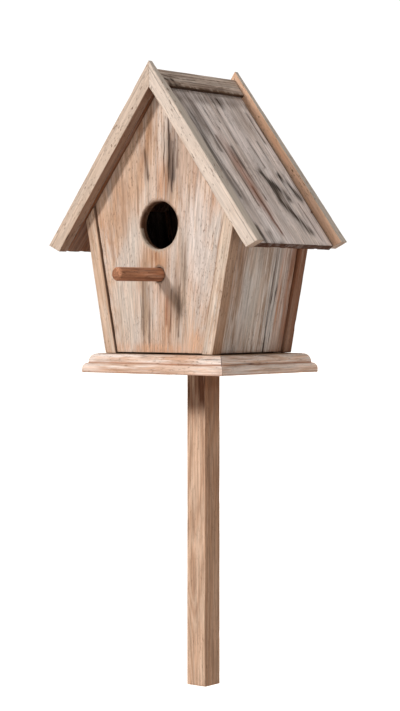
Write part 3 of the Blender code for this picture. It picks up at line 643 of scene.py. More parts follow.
def colour_bore_with_shade(made, centre, reach, span, seed, code, pale_lip_colour=None):
    """Give the wall of a carved opening its own grain and a dark colour: the brown of the bare cut wood,
    with painted shade that grows darker deeper in. A paler colour, when given, covers the outer
    lip's lower half."""
    mesh = made.data
    count = len(mesh.vertices)
    points = np.zeros(count * 3)
    mesh.vertices.foreach_get("co", points)
    points = points.reshape(-1, 3)
    across = np.abs(points[:, 0] - centre[0])
    above = np.abs(points[:, 2] - centre[1])
    if isinstance(reach, tuple):
        inside = (across < reach[0]) & (above < reach[1])
    else:
        inside = np.hypot(across, above) < reach
    layers = {name: np.zeros(count * size) for name, size in (("grain", 3), ("tint", 4))}
    mesh.attributes["grain"].data.foreach_get("vector", layers["grain"])
    mesh.attributes["tint"].data.foreach_get("color", layers["tint"])
    grain = layers["grain"].reshape(-1, 3)
    tint = layers["tint"].reshape(-1, 4)
    unset = inside & (np.abs(grain).sum(axis=1) < 1e-6)
    deeper = inside & (points[:, 1] > span[0] + 0.4 * MM) & (points[:, 1] < span[1] - 0.4 * MM)
    lost = unset | deeper
    grain[lost] = np.stack([points[:, 2], points[:, 0], points[:, 1]], 1)[lost] + seed * 0.31
    # painted shade: the bore's dark colour grows stronger deeper in
    depth = np.clip(np.minimum(points[:, 1] - span[0], span[1] - points[:, 1]) / (2.5 * MM), 0.0, 1.0)
    tint[inside, :3] = srgb(code)
    tint[inside, 3] = (0.55 + 0.4 * depth)[inside]
    if pale_lip_colour:
        lower = (points[:, 2] < centre[1] - 0.1 * reach) & (points[:, 1] < span[0] + 3.2 * MM)
        rim = inside & lower
        tint[rim, :3] = srgb(pale_lip_colour)
        tint[rim, 3] = 0.8
    mesh.attributes["grain"].data.foreach_set("vector", grain.ravel())
    mesh.attributes["tint"].data.foreach_set("color", tint.ravel())


def hole_tool(name, centre, radius, span, flare, seed, bore_wood_and_shade_tint, ragged):
    """A round cutter along Y with softened mouths and a slightly uneven wall."""
    steps = 96
    past, rim = 3.0 * MM, 2.2 * MM
    front_y, back_y = span
    rings = [(front_y - past, radius + flare + rim), (front_y - 0.2 * MM, radius + flare),
             (front_y + 0.35 * flare, radius + 0.35 * flare), (front_y + flare, radius)]
    straight_run = back_y - front_y - 2.0 * flare
    rings += [(front_y + flare + part * straight_run, radius) for part in (0.3, 0.5, 0.7)]
    rings += [(back_y - flare, radius), (back_y + 0.2 * MM, radius + flare),
              (back_y + past, radius + flare + rim)]
    angles = np.linspace(0.0, 2.0 * math.pi, steps, endpoint=False)
    bm = bmesh.new()
    loops = []
    for y, size in rings:
        spots = np.stack([np.cos(angles) * 0.02, np.sin(angles) * 0.02, np.full(steps, y)], 1)
        bumps = (noise(spots, (900.0, 900.0, 300.0), seed) - 0.5) * ragged
        bumps += (noise(spots, (160.0, 160.0, 60.0), seed + 1) - 0.5) * ragged
        loops.append([bm.verts.new((centre[0] + (size + bump) * math.cos(angle), y,
                                    centre[1] + (size + bump) * math.sin(angle)))
                      for angle, bump in zip(angles, bumps)])
    bm.faces.new(loops[0])
    bm.faces.new(list(reversed(loops[-1])))
    for near, far in zip(loops, loops[1:]):
        for here in range(steps):
            after = (here + 1) % steps
            bm.faces.new((near[here], near[after], far[after], far[here]))
    return cutter(name, bm, seed, bore_wood_and_shade_tint)


FRONT_PATCHES = [
    ((-42, 136), (16, 30), "BF9474", 0.75),
    ((-26, 160), (10, 30), "D0AC90", 0.7),
    ((14.5, 174), (6.5, 30), "7E6555", 0.95),
    ((-13.5, 168), (2.6, 16), "80604A", 0.95),
    ((-9, 192), (7, 20), "B58763", 0.85),
    ((4, 152), (6, 18), "C4906C", 0.9),
    ((26, 170), (9, 26), "D3B7A4", 0.9),
    ((-4, 90), (14, 14), "C4946F", 0.9),
    ((6, 44), (7, 32), "BC8C6C", 0.9),
    ((-26, 104), (9, 26), "DCCFC4", 0.9),
    ((38, 112), (13, 44), "E6D8D0", 0.9),
    ((24, 80), (5, 50), "A89484", 0.7),
    ((-34, 52), (12, 34), "D6C6B8", 0.9),
    ((-14, 56), (5, 30), "A08670", 0.85),
    ((19, 56), (4, 30), "8E7462", 0.8),
    ((0, 20.5), (46, 4), "D8A583", 0.7),
    ((36, 27), (9, 8), "DFB090", 0.75),
]

FRONT_STROKES = [
    (((9.3, 204), (10.4, 186), (11.4, 162), (13.4, 145)), 1, "54423A", 0.85),
    (((17.5, 206), (19.4, 189), (18.6, 164)), 1, "5A463C", 0.8),
    (((14.2, 184), (14.6, 156)), 2.4, "625650", 0.7),
    (((-15.4, 179), (-13.5, 171), (-11.6, 156)), 1.2, "6A503E", 0.8),
    (((-22.5, 150), (-22, 128)), 0.9, "A07C62", 0.7),
    (((-16.5, 78), (-16, 30)), 0.9, "7A6454", 0.8),
    (((-10.5, 70), (-10, 24)), 0.8, "82695A", 0.8),
    (((-3, 104), (-3.6, 90)), 0.9, "8A5E44", 0.7),
    (((8.4, 60), (8, 40)), 1.6, "8E5C42", 0.7),
    (((12.5, 66), (11.8, 34)), 0.9, "6A4C3A", 0.8),
    (((20.5, 70), (20, 30)), 0.9, "6A5648", 0.8),
    (((27, 104), (26, 56)), 0.9, "94806F", 0.7),
    (((31, 150), (30.5, 120)), 0.8, "A88C78", 0.7),
    (((-40, 70), (-39, 40)), 0.8, "B09A88", 0.7),
]

SIDE_PATCHES = [
    ((-40, 84), (8, 34), "B48C70", 0.8),
    ((-16, 70), (9, 50), "DDD2C8", 0.85),
    ((8.5, 70), (1.4, 48), "7A6050", 0.6),
    ((20, 70), (5, 50), "C49070", 0.9),
    ((33, 64), (8, 80), "A8755A", 0.95),
    ((-30, 30), (8, 14), "A98A74", 0.6),
]

ROOF_PATCHES = [
    ((-22, 104), (7, 44), "9C6C56", 0.75),
    ((-8, 120), (6, 40), "8E7C72", 0.6),
    ((-50, 90), (7, 74), "77706B", 0.8),
    ((-37, 40), (6, 30), "6E625A", 0.75),
    ((4, 58), (18, 36), "DDD3D0", 0.9),
    ((20, 38), (9, 18), "8A7C72", 0.6),
    ((32, 146), (9, 34), "DACECB", 0.85),
    ((4, 160), (14, 16), "D8CAC2", 0.85),
    ((-38, 132), (6, 26), "D2C6C0", 0.75),
    ((10, 128), (9, 20), "85776D", 0.5),
    ((16, 166), (9, 12), "DCCFC8", 0.8),
    ((-12, 84), (6, 30), "CBBDB4", 0.6),
    ((-8, 178), (60, 4), "5E3E28", 0.9),
    # painted shadow of the ridge cap, a dark band just below its lower edge
    ((-8, 20), (60, 6), "5A4C42", 0.7),
]

ROOF_STROKES = [
    (((1.6, 96), (8, 105), (16, 114), (18.7, 122)), 3.6, "3A322C", 0.95),
    (((8.5, 106), (6, 124), (14, 140), (20, 155)), 3.4, "463C35", 0.9),
    (((26, 97), (31, 107), (35, 121)), 3.6, "38302A", 0.95),
    (((-17.2, 70), (-17.2, 85), (-16.1, 106), (-14, 124)), 1.5, "443630", 0.95),
    (((3, 18), (6, 28)), 1.8, "3A2E26", 0.9),
    (((-34, 24), (-33.5, 47), (-34, 76)), 1.6, "544A44", 0.85),
    (((-47, 24), (-47, 82), (-46, 122)), 2.6, "5F5853", 0.85),
    (((-42, 96), (-41, 150)), 1.2, "544A44", 0.8),
    (((-29, 60), (-28, 130)), 1.2, "6A5549", 0.8),
    (((-5, 30), (-7, 66)), 1.4, "74685F", 0.8),
    (((12, 60), (13, 88)), 1.2, "6E6259", 0.8),
    (((24, 62), (25, 90)), 1, "766A60", 0.8),
    (((34, 30), (35, 62)), 1.4, "665A50", 0.8),
    (((-22, 112), (-20, 158)), 1.6, "744C3C", 0.85),
    (((28, 126), (30, 164)), 1, "6E6056", 0.8),
    (((-49, 152), (-47.5, 174)), 3, "4A3C32", 0.9),
    (((-37.5, 158), (-36, 176)), 2.8, "40342C", 0.9),
    (((-28, 168), (-27, 178)), 2.6, "4E382A", 0.85),
    # a dark line along the rear barge: partly the dark joint, partly painted contact shadow
    (((41.6, 22), (41.6, 178)), 1.4, "4E3524", 0.9),
]


POST_PATCHES = {
    ("front", -1): [((-60.0, 100.0), (12.0, 60.0), "D8B294", 0.6)],
    ("front", 1): [((70.0, 100.0), (9.0, 40.0), "DDC9B6", 0.7)],
}

# painted shade over whole sides of the wall boards, their inner face and their foot end: (axis, sign,
# colour, strength)
INSIDE_SHADE_FACES = [(2, -1.0, "3A2418", 0.92), (0, -1.0, "4A3020", 0.8)]


def make_front_panel(paint):
    size = (PANEL_HIGH.z - PANEL_LOW.z, 2.0 * PANEL_HIGH.x, PANEL_HIGH.y - PANEL_LOW.y)
    cracks = [(5.5 * MM, 0.7, 0.030, 0.092, 0.7), (10.5 * MM, 0.9, 0.006, 0.095, 0.9),
              (15.0 * MM, 0.6, 0.024, 0.075, 0.6), (-12.5 * MM, 0.6, 0.018, 0.060, 0.5),
              (-26.0 * MM, 0.5, -0.090, -0.045, 0.4), (33.0 * MM, 0.5, -0.060, 0.004, 0.35)]
    made = board("front_panel", size, gable(PANEL_LOW, PANEL_HIGH), 11, (2.6, 0.8), 0.8, 0.12, 0.16,
                 cracks=cracks, patches=FRONT_PATCHES, flat=front_flat, faces=INSIDE_SHADE_FACES, material=paint,
                 slot="front_panel_wood", strokes=FRONT_STROKES)
    entrance = (0.0, BASE_Z + ENTRANCE_UP)
    perch_hole = (0.0, (PERCH_LOW.z + PERCH_HIGH.z) / 2.0)
    span = (PANEL_LOW.y, PANEL_HIGH.y)
    for tool in (
        hole_tool("entrance_tool", entrance, ENTRANCE_RADIUS, span, 0.9 * MM, 21, "4A2E1E", 0.35 * MM),
        hole_tool("perch_tool", perch_hole, PERCH_HOLE_RADIUS, span, 0.25 * MM, 22, "3A2418", 0.1 * MM),
    ):
        carve(made, tool)
    colour_bore_with_shade(made, entrance, ENTRANCE_RADIUS + 1.55 * MM, span, 21, "6A452E", "CDBBAA")
    colour_bore_with_shade(made, perch_hole, PERCH_HOLE_RADIUS + 0.65 * MM, span, 22, "3A2418")


def make_back_panel(paint):
    low = Vector((BACK_LOW.x, BACK_LOW.y, WALL_Z + FOOT_CLEAR))
    size = (BACK_HIGH.z - low.z, 2.0 * BACK_HIGH.x, BACK_HIGH.y - BACK_LOW.y)
    cracks = [(-8.0 * MM, 0.7, 0.030, 0.090, 0.7), (14.0 * MM, 0.6, 0.020, 0.070, 0.5)]
    patches = [((-20.0, 150.0), (12.0, 30.0), "9A7A60", 0.7), ((18.0, 170.0), (10.0, 26.0), "DACBBD", 0.8)]
    made = board("back_panel", size, gable(low, BACK_HIGH), 12, (3.0, 1.0), 0.8, 0.12, 0.16, cracks=cracks,
                 patches=patches, flat=front_flat, faces=INSIDE_SHADE_FACES, material=paint, slot="back_panel_wood")
    clear = 1.2 * MM
    cutter_depth = 30.0 * MM
    bm = bmesh.new()
    bmesh.ops.create_cube(bm, size=1.0)
    middle = (DOOR_LOW + DOOR_HIGH) / 2.0
    span = DOOR_HIGH - DOOR_LOW
    stretch = (span.x + 2.0 * clear, cutter_depth, span.z + 2.0 * clear)
    for vertex in bm.verts:
        vertex.co = Vector([middle[axis] + vertex.co[axis] * stretch[axis] for axis in range(3)])
    bmesh.ops.subdivide_edges(bm, edges=list(bm.edges), cuts=5, use_grid_fill=True)
    carve(made, cutter("doorway_tool", bm, 23, "6A4A34"))
    reach = (span.x / 2.0 + clear + 0.05 * MM, span.z / 2.0 + clear + 0.05 * MM)
    colour_bore_with_shade(made, (middle.x, middle.z), reach, (BACK_LOW.y, BACK_HIGH.y), 23, "6A4A34")


def wall_line(base_x, z):
    return base_x + WALL_LEAN * (z - WALL_Z)


def meet_roof(base_x):
    rise = (roof_height(base_x, WALL_TOP_DEPTH) - WALL_Z) / (1.0 + WALL_LEAN * TAN_ROOF)
    return wall_line(base_x, WALL_Z + rise), WALL_Z + rise


def leaning_shape(side, low_y, high_y, outer_base, thick, foot_z):
    """Shape of a leaning wall piece: grain upright, width along Y, depth outward in X."""
    bases = (outer_base - thick, outer_base)
    foot = [(wall_line(base, foot_z), foot_z) for base in bases]
    head = [meet_roof(base) for base in bases]
    return ruled([[[(side * x, y, z) for x, z in row] for y in (low_y, high_y)] for row in (foot, head)])


def make_posts(paint):
    for number, (end, side) in enumerate((e, s) for e in ("front", "rear") for s in (-1, 1)):
        name = "corner_post_" + end + "_" + WORDS[side]
        low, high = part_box(name)
        shape = leaning_shape(side, low.y, high.y, POST_OUTER_X, POST_THICK, low.z)
        # the inner face of the front posts is tinted dark brown as painted shade
        faces = [(2, 1.0, "A67C5E", 0.7), (2, -1.0, "4A3020", 0.8)]
        if end == "rear":
            faces = [(axis, sign, "87593F", 0.9) for axis in (1, 2) for sign in (-1.0, 1.0)]
        board(name, (high.z - low.z, high.y - low.y, POST_THICK), shape, 30 + number, (2.4, 0.9), 0.9, 0.10,
              0.14, patches=POST_PATCHES.get((end, side), ()), flat=front_flat, faces=faces, material=paint,
              slot="post_wood")


def make_side_panels(paint):
    outer_x = POST_OUTER_X - 2.0 * MM
    thick = 8.0 * MM
    cracks = [(13.5 * MM, 0.4, -0.046, 0.040, 0.30), (-24.0 * MM, 0.4, -0.030, 0.010, 0.3)]
    for number, side in enumerate((-1, 1)):
        name = "side_panel_" + WORDS[side]
        low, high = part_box(name)
        foot_z = WALL_Z + FOOT_CLEAR if side < 0 else low.z
        shape = leaning_shape(side, low.y, high.y, outer_x, thick, foot_z)
        size = (high.z - foot_z, high.y - low.y, thick)
        board(name, size, shape, 40 + number, (2.6, 0.9), 0.8, 0.14, 0.16, end_rough=0.3, cracks=cracks,
              patches=SIDE_PATCHES, flat=side_flat, faces=INSIDE_SHADE_FACES, material=paint, slot="side_panel_wood")


# ---------------------------------------------------------------- roof
BARGE_LENGTH = 180.5 * MM
BARGE_WIDTH = 12.5 * MM
BARGE_CUT = math.radians(24.4)
REAR_LIFT = 1.5 * MM
BARGE_PARED = 5.0 * MM
FRONT_PARED_ALONG = 45.0 * MM
BARGE_LINE_DOWN = 3.1 * MM
ROOF_TOP, ROOF_UNDER = 6.4 * MM, 12.4 * MM
ROOF_LENGTH = 177.7 * MM
CAP_TOP, CAP_UNDER = 3.1 * MM, 6.1 * MM
CAP_REACH = 18.0 * MM


def barge_shape(side, low_y, high_y, facing, pared_along):
    """Grain down the slope, width square to it, depth out of the gable. The top edge is pared
    thinner towards the ridge, on the side that is turned to the rear."""
    lead = BARGE_WIDTH * math.tan(math.pi / 2.0 - ROOF_ANGLE - BARGE_CUT)
    near, far = (high_y, low_y) if facing < 0 else (low_y, high_y)
    lift = 0.0 if facing < 0 else REAR_LIFT
    corners = []
    for i in range(2):
        row = []
        for depth, ahead in ((BARGE_WIDTH, lead), (0.0, 0.0)):
            if i:
                x, _, z = slope_point(side, BARGE_LENGTH - ahead, depth, 0.0)
            else:
                x, z = side * MITRE_GAP / 2.0, roof_height(MITRE_GAP / 2.0, depth)
            row.append([(x, near, z + lift), (x, far, z + lift)])
        corners.append(row)
    plain = ruled(corners)

    def shape(a, b, c):
        out = plain(a, b, c)
        along = (a + 1.0) / 2.0 * BARGE_LENGTH
        upper = np.clip((b + 0.25) / 1.25, 0.0, 1.0)
        rear = (out[:, 1] - low_y) / (high_y - low_y)
        out[:, 1] -= np.clip(1.0 - along / pared_along, 0.0, 1.0) * upper * rear * BARGE_PARED
        return out
    return shape


def make_barges(paint):
    cracks = [(BARGE_WIDTH / 2.0 - BARGE_LINE_DOWN, 0.35, -0.5, 0.5, 0.12)]
    kinds = [(end, facing, side) for end, facing in (("front", -1), ("rear", 1)) for side in (-1, 1)]
    for number, (end, facing, side) in enumerate(kinds):
        name = "barge_board_" + end + "_" + WORDS[side]
        low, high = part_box(name)
        shape = barge_shape(side, low.y, high.y, facing, FRONT_PARED_ALONG if facing < 0 else BARGE_LENGTH)
        # the lower edge and the front barges' inner face are tinted brown as painted shade; the rear barges'
        # inner face is tinted pale orange as painted light
        faces = [(1, 1.0, "A8A198", 0.75), (1, -1.0, "8A6248", 0.85),
                 (2, -1.0, "8A6248" if facing < 0 else "E2B492", 0.8), (0, 1.0, "B08C72", 0.6)]
        if facing < 0 and side < 0:
            faces.append((2, 1.0, "C8AC94", 0.5))
        board(name, (BARGE_LENGTH, BARGE_WIDTH, high.y - low.y), shape, 60 + number, (2.2, 0.7), 0.7, 0.09,
              0.18, 0.7, 0.5, cracks, faces=faces, sharp_start=True, material=paint, slot="barge_wood")


def make_roof_boards(paint):
    cracks = [(6.0 * MM, 0.8, -0.086, -0.030, 1.0), (-12.0 * MM, 0.7, -0.020, 0.060, 0.8),
              (14.0 * MM, 0.8, 0.000, 0.060, 0.9), (34.0 * MM, 0.7, 0.010, 0.070, 0.7),
              (-34.0 * MM, 0.7, -0.060, 0.020, 0.8), (-44.0 * MM, 0.8, -0.070, 0.070, 0.7)]
    # the underside is tinted brown as painted shade
    faces = [(2, -1.0, "8C5C3C", 0.92), (0, 1.0, "54301C", 0.95)]
    for number, side in enumerate((-1, 1)):
        name = "roof_board_" + WORDS[side]
        low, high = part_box(name)
        corners = [[[slope_corner(side, along, depth, y) for depth in (ROOF_UNDER, ROOF_TOP)]
                    for y in (low.y, high.y)] for along in (0.0, ROOF_LENGTH)]
        board(name, (ROOF_LENGTH, high.y - low.y, ROOF_UNDER - ROOF_TOP), ruled(corners), 70 + number,
              (2.2, 0.8), 0.9, 0.30, 0.30, 0.9, 1.0, cracks, ROOF_PATCHES,
              lambda world, facing=side: slope_flat(world, facing), faces, True, material=paint,
              slot="roof_board_wood", strokes=ROOF_STROKES)


CAP_PATCHES = [
    # painted shade: a dark band along the cap's lower edge
    ((-10, 19.4), (80, 5), "654C38", 1.3),
    ((-50, 15), (6, 5), "8A7668", 0.7),
    ((-26, 12), (12, 3), "A8988C", 0.7),
    ((16, 8), (24, 3), "A5968A", 0.7),
]

CAP_STROKES = [
    (((-57, 10.2), (-54.2, 12.2), (-53.6, 15.8), (-55.4, 19)), 1.7, "33261C", 1),
    (((-50, 10.6), (-46.4, 11.8), (-45.6, 14.8), (-47.6, 18.2)), 1.6, "33261C", 1),
    (((-42, 14.4), (-36, 12.6)), 0.8, "443429", 0.85),
    (((-60, 6), (-52, 7.4), (-37, 8.6), (-17, 8.2)), 0.6, "5E4E42", 0.8),
    (((-20, 5), (4, 5.4), (40, 4.4)), 0.5, "645446", 0.8),
    (((-6, 11), (10, 12.2), (26, 11.4)), 0.6, "5A4A3E", 0.8),
]


def make_ridge_caps(paint):
    reach = CAP_REACH + CAP_TOP * TAN_ROOF
    cracks = [(2.0 * MM, 0.5, -0.03, 0.02, 0.4), (-5.0 * MM, 0.5, -0.045, 0.04, 0.35),
              (6.0 * MM, 0.4, -0.02, 0.05, 0.3)]
    for number, side in enumerate((-1, 1)):
        name = "ridge_cap_" + WORDS[side]
        low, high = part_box(name)
        corners = [[[slope_corner(side, along, depth, y) for depth in (CAP_UNDER, CAP_TOP)]
                    for along in (0.0, reach)] for y in (low.y, high.y)]
        size = (high.y - low.y, reach, CAP_UNDER - CAP_TOP)
        # the cap's lower edge face is tinted dark brown as painted shade
        board(name, size, ruled(corners), 80 + number, (2.0, 0.8), 1.1, 0.16, 0.22, 0.7, 0.4, cracks,
              CAP_PATCHES, slope_flat, [(1, 1.0, "4A3222", 0.95)], material=paint, slot="ridge_cap_wood",
              strokes=CAP_STROKES)


# ---------------------------------------------------------------- base, pole, perch and door
def moulding_profile(inner):
    """Outline of the double-rounded moulding as (inset from its outer face, height)."""
    points = [(inner, 0.0), (0.7 * inner, 0.0), (0.35 * inner, 0.0), (0.6 * MM, 0.0), (0.2 * MM, 0.3 * MM),
              (0.0, 0.9 * MM), (0.0, 2.0 * MM)]
    for start_inset, inset_span, low_z, high_z in ((0.0, 3.6 * MM, 3.2 * MM, 8.2 * MM),
                                                   (3.8 * MM, 4.6 * MM, 8.5 * MM, 15.7 * MM)):
        for step in range(9):
            angle = math.pi / 2.0 * step / 8.0
            points.append((start_inset + inset_span * (1.0 - math.cos(angle)),
                           low_z + (high_z - low_z) * math.sin(angle)))
    return points + [(inner, high) for high in (15.7 * MM, 10.5 * MM, 5.2 * MM)]


MOULDING_DEEP = 8.85 * MM
MOULDING_PITCH = 1.8 * MM
# dark lines along the mouldings, the one at 8.3 mm in the crease between the two roundovers being painted
# shade and the others dirt: (height, half width, cover)
MOULDING_DIRT_AND_SHADE_LINES = [(0.8 * MM, 0.8 * MM, 0.6), (3.1 * MM, 0.4 * MM, 0.5), (8.3 * MM, 0.6 * MM, 0.8)]


def make_mouldings(paint):
    profile = np.array(moulding_profile(MOULDING_DEEP))
    left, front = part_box("base_moulding_left")[0].x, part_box("base_moulding_front")[0].y
    right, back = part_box("base_moulding_right")[1].x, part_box("base_moulding_back")[1].y
    runs = {
        "front": (left, right, lambda t, d: (t, front + d)),
        "back": (left, right, lambda t, d: (t, back - d)),
        "left": (front, back, lambda t, d: (left + d, t)),
        "right": (front, back, lambda t, d: (right - d, t)),
    }
    inset, up = profile.T
    pull = profile - profile.mean(axis=0)
    pull = pull / np.maximum(np.linalg.norm(pull, axis=1, keepdims=True), 1e-9)
    for number, (word, (start, stop, spot)) in enumerate(runs.items()):
        seed = 90 + number
        rows = []
        grain = []
        for share in np.linspace(0.0, 1.0, int((stop - start) / MOULDING_PITCH)):
            along = (start + inset + GAP) + share * ((stop - inset - GAP) - (start + inset + GAP))
            spots = np.stack([along + seed, inset, up], 1)
            dent = 0.05 + 0.12 * noise(spots, (14.0, 420.0, 420.0), seed)
            dent += 0.20 * noise(spots, (10.0, 90.0, 90.0), seed + 1)
            dent += 0.8 * np.clip(noise(spots, (80.0, 150.0, 150.0), seed + 2) - 0.68, 0.0, 1.0)
            moved = profile - pull * dent[:, None] * MM
            x, y = spot(along, moved[:, 0])
            rows.append(np.stack([x, y, BASE_Z + moved[:, 1]], 1))
            grain.append(spots)
        made = ring_mesh("base_moulding_" + word, rows, 42.0)
        grain = np.concatenate(grain)
        level = np.concatenate(rows)[:, 2] - BASE_Z
        tint = blank_tint(len(level))
        tint[:, :3] = srgb("9A7458")
        tint[:, 3] = 0.4 * np.clip((level - 14.6 * MM) / (1.0 * MM), 0.0, 1.0)
        wander = 0.6 * MM * (noise(grain, (60.0, 1.0, 1.0), seed + 7) - 0.5)
        for height, wide, cover in MOULDING_DIRT_AND_SHADE_LINES:
            lay(tint, cover * np.exp(-((level - height - wander) / wide) ** 2), "A8704C")
        set_attributes(made, grain, np.zeros(len(level)), tint)
        place_piece(made, "base_moulding_" + word, HOUSE, paint)


def box_board(name, axes, seed, *options, **more):
    """A board that fills its node's box; axes are the row axes of its grain, width and thickness."""
    low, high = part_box(name)
    size = [(high - low)[abs(axis) - 1] for axis in axes]
    board(name, size, straight(low, high, axes), seed, *options, **more)


def make_plain_boards(paints):
    # the dark patch at the top of the pole, just under the base, is partly stain and partly painted shadow
    # of the base
    box_board("pole", (3, 1, -2), 101, (3.0, 0.9), 0.45, 0.06, 0.10, 0.25,
              patches=[((0.0, 2.0), (60.0, 30.0), "6A422C", 1.8)], flat=front_flat,
              faces=[(1, sign, "AC7E5E", 0.45) for sign in (-1.0, 1.0)], material=paints["pole"],
              slot="pole_wood")
    box_board("floor_board", (1, 2, 3), 102, (3.0, 1.2), 0.5, 0.08, 0.10, 0.2, material=paints["floor"],
              slot="floor_wood")
    cracks = [(-6.0 * MM, 0.6, -0.030, 0.010, 0.5), (12.0 * MM, 0.5, -0.005, 0.028, 0.4)]
    patches = [((-4.0, 60.0), (10.0, 26.0), "B98E6E", 0.6), ((16.0, 70.0), (8.0, 24.0), "DED0C4", 0.7)]
    box_board("cleanout_door", (3, 1, 2), 103, (2.4, 0.8), 0.9, 0.12, 0.14, 0.5, 0.3, cracks, patches,
              front_flat, body="cleanout_door", material=paints["front"], slot="door_wood")
    box_board("door_stop", (3, 1, -2), 104, (3.0, 0.9), 0.7, 0.1, 0.1, 0.3, material=paints["floor"],
              slot="stop_wood")


def turned_piece(name, start, profile, steps, seed, dent, paint, body):
    """A turned wooden piece along Y: profile is (distance, radius), with shallow tool marks and dents."""
    angles = np.linspace(0.0, 2.0 * math.pi, steps, endpoint=False)
    rings = []
    grain = []
    for along, radius in profile:
        spots = np.stack([np.full(steps, along + seed), np.cos(angles) * radius, np.sin(angles) * radius], 1)
        bumps = -dent * noise(spots, (60.0, 500.0, 500.0), seed)
        bumps -= dent * noise(spots, (20.0, 160.0, 160.0), seed + 1)
        size = np.maximum(radius + bumps, 0.2 * MM)
        rings.append(np.stack([start[0] + size * np.cos(angles), np.full(steps, start[1] + along),
                               start[2] + size * np.sin(angles)], 1))
        grain.append(spots)
    made = ring_mesh(name, rings, 50.0)
    total = steps * len(profile)
    set_attributes(made, np.concatenate(grain), np.zeros(total), np.zeros((total, 4)))
    place_piece(made, name, body, paint)


# the knob's outline: (distance from its foot, radius) in mm
KNOB_OUTLINE = [
    (0, 3.3), (0.3, 3.55), (0.8, 3.5), (1.3, 3), (2.2, 2.65), (3.4, 2.6), (4.4, 2.8), (5.2, 3.4), (6, 4.3),
    (6.9, 4.95), (7.8, 5.25), (8.6, 5.3), (9.5, 5.15), (10.4, 4.75), (11.2, 4), (11.8, 3.1), (12.2, 2),
    (12.4, 0.9),
]


def make_turned(paints):
    radius = (PERCH_HIGH.z - PERCH_LOW.z) / 2.0
    length = PERCH_HIGH.y - PERCH_LOW.y
    round_end = 1.6 * MM
    profile = [(0.0, 0.25 * radius), (0.05 * MM, 0.6 * radius), (0.15 * MM, radius - 1.2 * MM),
               (0.45 * MM, radius - 0.55 * MM), (1.0 * MM, radius - 0.15 * MM)]
    profile += [(round_end + step * (length - 2.4 * MM) / 40.0, radius) for step in range(40)]
    profile += [(length - 0.5 * MM, radius - 0.2 * MM), (length, radius - 0.8 * MM)]
    start = (0.0, PERCH_LOW.y, (PERCH_HIGH.z + PERCH_LOW.z) / 2.0)
    turned_piece("perch", start, profile, 44, 7, 0.10 * MM, paints["perch"], HOUSE)
    low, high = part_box("door_knob")
    middle = (low + high) / 2.0
    profile = [(along * MM, size * MM) for along, size in KNOB_OUTLINE]
    turned_piece("door_knob", (middle.x, low.y, middle.z), profile, 36, 8, 0.08 * MM, paints["knob"],
                 "cleanout_door")


def make_kept_pieces(paints):
    """Materials for the CAD nodes that stay, with their metal edges softened."""
    for node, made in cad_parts.items():
        if made.hide_render:
            continue
        if node == "turn_button":
            paint = paints["button"]
        elif "hinge" in node or node in ("door_knob_screw", "turn_button_screw", "turn_button_washer"):
            paint = paints["steel"]
        else:
            paint = paints["nail"]
        made.data.materials.clear()
        made.data.materials.append(paint)
        if node == "turn_button":
            continue
        soften = made.modifiers.new("soften", "BEVEL")
        soften.width = 0.12 * MM
        soften.segments = 2
        soften.limit_method = "ANGLE"


# ---------------------------------------------------------------- stage, light and camera
FLOOR_HALF = 60.0
FLOOR_DROP = 1.5
GLOW_START, GLOW_FULL = 5.0, 8.0
FLOOR_COLOUR = (0.82, 0.81, 0.80, 1.0)
GLOW_COLOUR = (1.0, 0.95, 0.90, 1.0)


def make_stage():
    """A wide pale floor whose far part glows, so that it ends in the white of the surround."""
    bm = bmesh.new()
    spots = ((-1, -1), (1, -1), (1, 1), (-1, 1))
    bm.faces.new([bm.verts.new((x * FLOOR_HALF, y * FLOOR_HALF, -FLOOR_DROP)) for x, y in spots])
    mesh = bpy.data.meshes.new("studio_floor")
    bm.to_mesh(mesh)
    bm.free()
    floor = bpy.data.objects.new("studio_floor", mesh)
    bpy.context.scene.collection.objects.link(floor)
    g = Graph("studio_floor")
    glow = g.ramp(g.length(g.object_place()), GLOW_START, GLOW_FULL)
    g.shader.inputs["Base Color"].default_value = FLOOR_COLOUR
    g.shader.inputs["Roughness"].default_value = 0.9
    g.shader.inputs["Emission Color"].default_value = GLOW_COLOUR
    g.link(glow, g.shader.inputs["Emission Strength"])
    mesh.materials.append(g.material)


AMBIENT = 0.24
AMBIENT_COLOUR = (1.0, 0.87, 0.76, 1.0)
BACKDROP_STRENGTH = 1.05
SUN_COLOUR = (1.0, 0.985, 0.965)
SUN_POWER = 2.35
SUN_SPREAD = math.radians(9.0)
SOFTBOX_COLOUR = (1.0, 0.98, 0.96)
SOFTBOX_POWER = 38.0
SOFTBOX_PLACE = Vector((0.5, 0.3, 2.9))
SOFTBOX_AIM = Vector((0.0, 0.0, 0.4))
SOFTBOX_SIDE = 2.4


def add_lamp(name, kind, power, colour, towards, place):
    lamp = bpy.data.lights.new(name, kind)
    lamp.energy = power
    lamp.color = colour
    made = bpy.data.objects.new(name, lamp)
    made.location = place
    made.rotation_mode = "QUATERNION"
    made.rotation_quaternion = towards.to_track_quat("Z", "Y")
    bpy.context.scene.collection.objects.link(made)
    return lamp


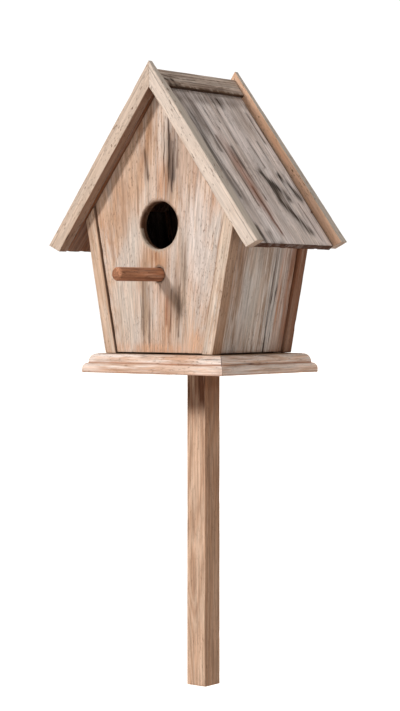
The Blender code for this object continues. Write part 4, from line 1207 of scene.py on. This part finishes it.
def make_light():
    """A soft low sun from the front left, a large softbox overhead and a dim warm surround."""
    world = bpy.data.worlds.new("studio")
    bpy.context.scene.world = world
    world.use_nodes = True
    nodes = world.node_tree.nodes
    links = world.node_tree.links
    back = nodes["Background"]
    back.inputs["Color"].default_value = AMBIENT_COLOUR
    back.inputs["Strength"].default_value = AMBIENT
    white = nodes.new("ShaderNodeBackground")
    white.inputs["Color"].default_value = (1.0, 1.0, 1.0, 1.0)
    white.inputs["Strength"].default_value = BACKDROP_STRENGTH
    path = nodes.new("ShaderNodeLightPath")
    blend = nodes.new("ShaderNodeMixShader")
    links.new(path.outputs["Is Camera Ray"], blend.inputs["Fac"])
    links.new(back.outputs["Background"], blend.inputs[1])
    links.new(white.outputs["Background"], blend.inputs[2])
    links.new(blend.outputs["Shader"], nodes["World Output"].inputs["Surface"])
    sun = add_lamp("sun", "SUN", SUN_POWER, SUN_COLOUR, SUN_FROM, Vector())
    sun.angle = SUN_SPREAD
    towards = SOFTBOX_PLACE - SOFTBOX_AIM
    box = add_lamp("softbox", "AREA", SOFTBOX_POWER, SOFTBOX_COLOUR, towards, SOFTBOX_PLACE)
    box.size = SOFTBOX_SIDE


CAMERA_AZIMUTH = math.radians(38.5)
CAMERA_DISTANCE = 1.594
CAMERA_RISE = 55.2 * MM
SENSOR = 36.0
FOCAL_SHARE = 2.735
CAMERA_SHIFT = (-0.0049, -0.0713)


def make_camera():
    data = bpy.data.cameras.new("camera")
    data.sensor_width = SENSOR
    data.lens = SENSOR * FOCAL_SHARE
    data.shift_x, data.shift_y = CAMERA_SHIFT
    made = bpy.data.objects.new("camera", data)
    bpy.context.scene.collection.objects.link(made)
    back = Vector((math.sin(CAMERA_AZIMUTH), -math.cos(CAMERA_AZIMUTH), 0.0))
    made.location = back * CAMERA_DISTANCE + Vector((0.0, 0.0, BASE_Z + CAMERA_RISE))
    made.rotation_mode = "QUATERNION"
    made.rotation_quaternion = back.to_track_quat("Z", "Y")
    bpy.context.scene.camera = made
    bpy.context.scene.view_settings.view_transform = "Standard"


def main():
    paints = make_materials()
    make_front_panel(paints["front"])
    make_back_panel(paints["front"])
    make_posts(paints["post"])
    make_side_panels(paints["side"])
    make_barges(paints["barge"])
    make_roof_boards(paints["roof"])
    make_ridge_caps(paints["cap"])
    make_mouldings(paints["base"])
    make_plain_boards(paints)
    make_turned(paints)
    make_kept_pieces(paints)
    make_stage()
    make_light()
    make_camera()


main()
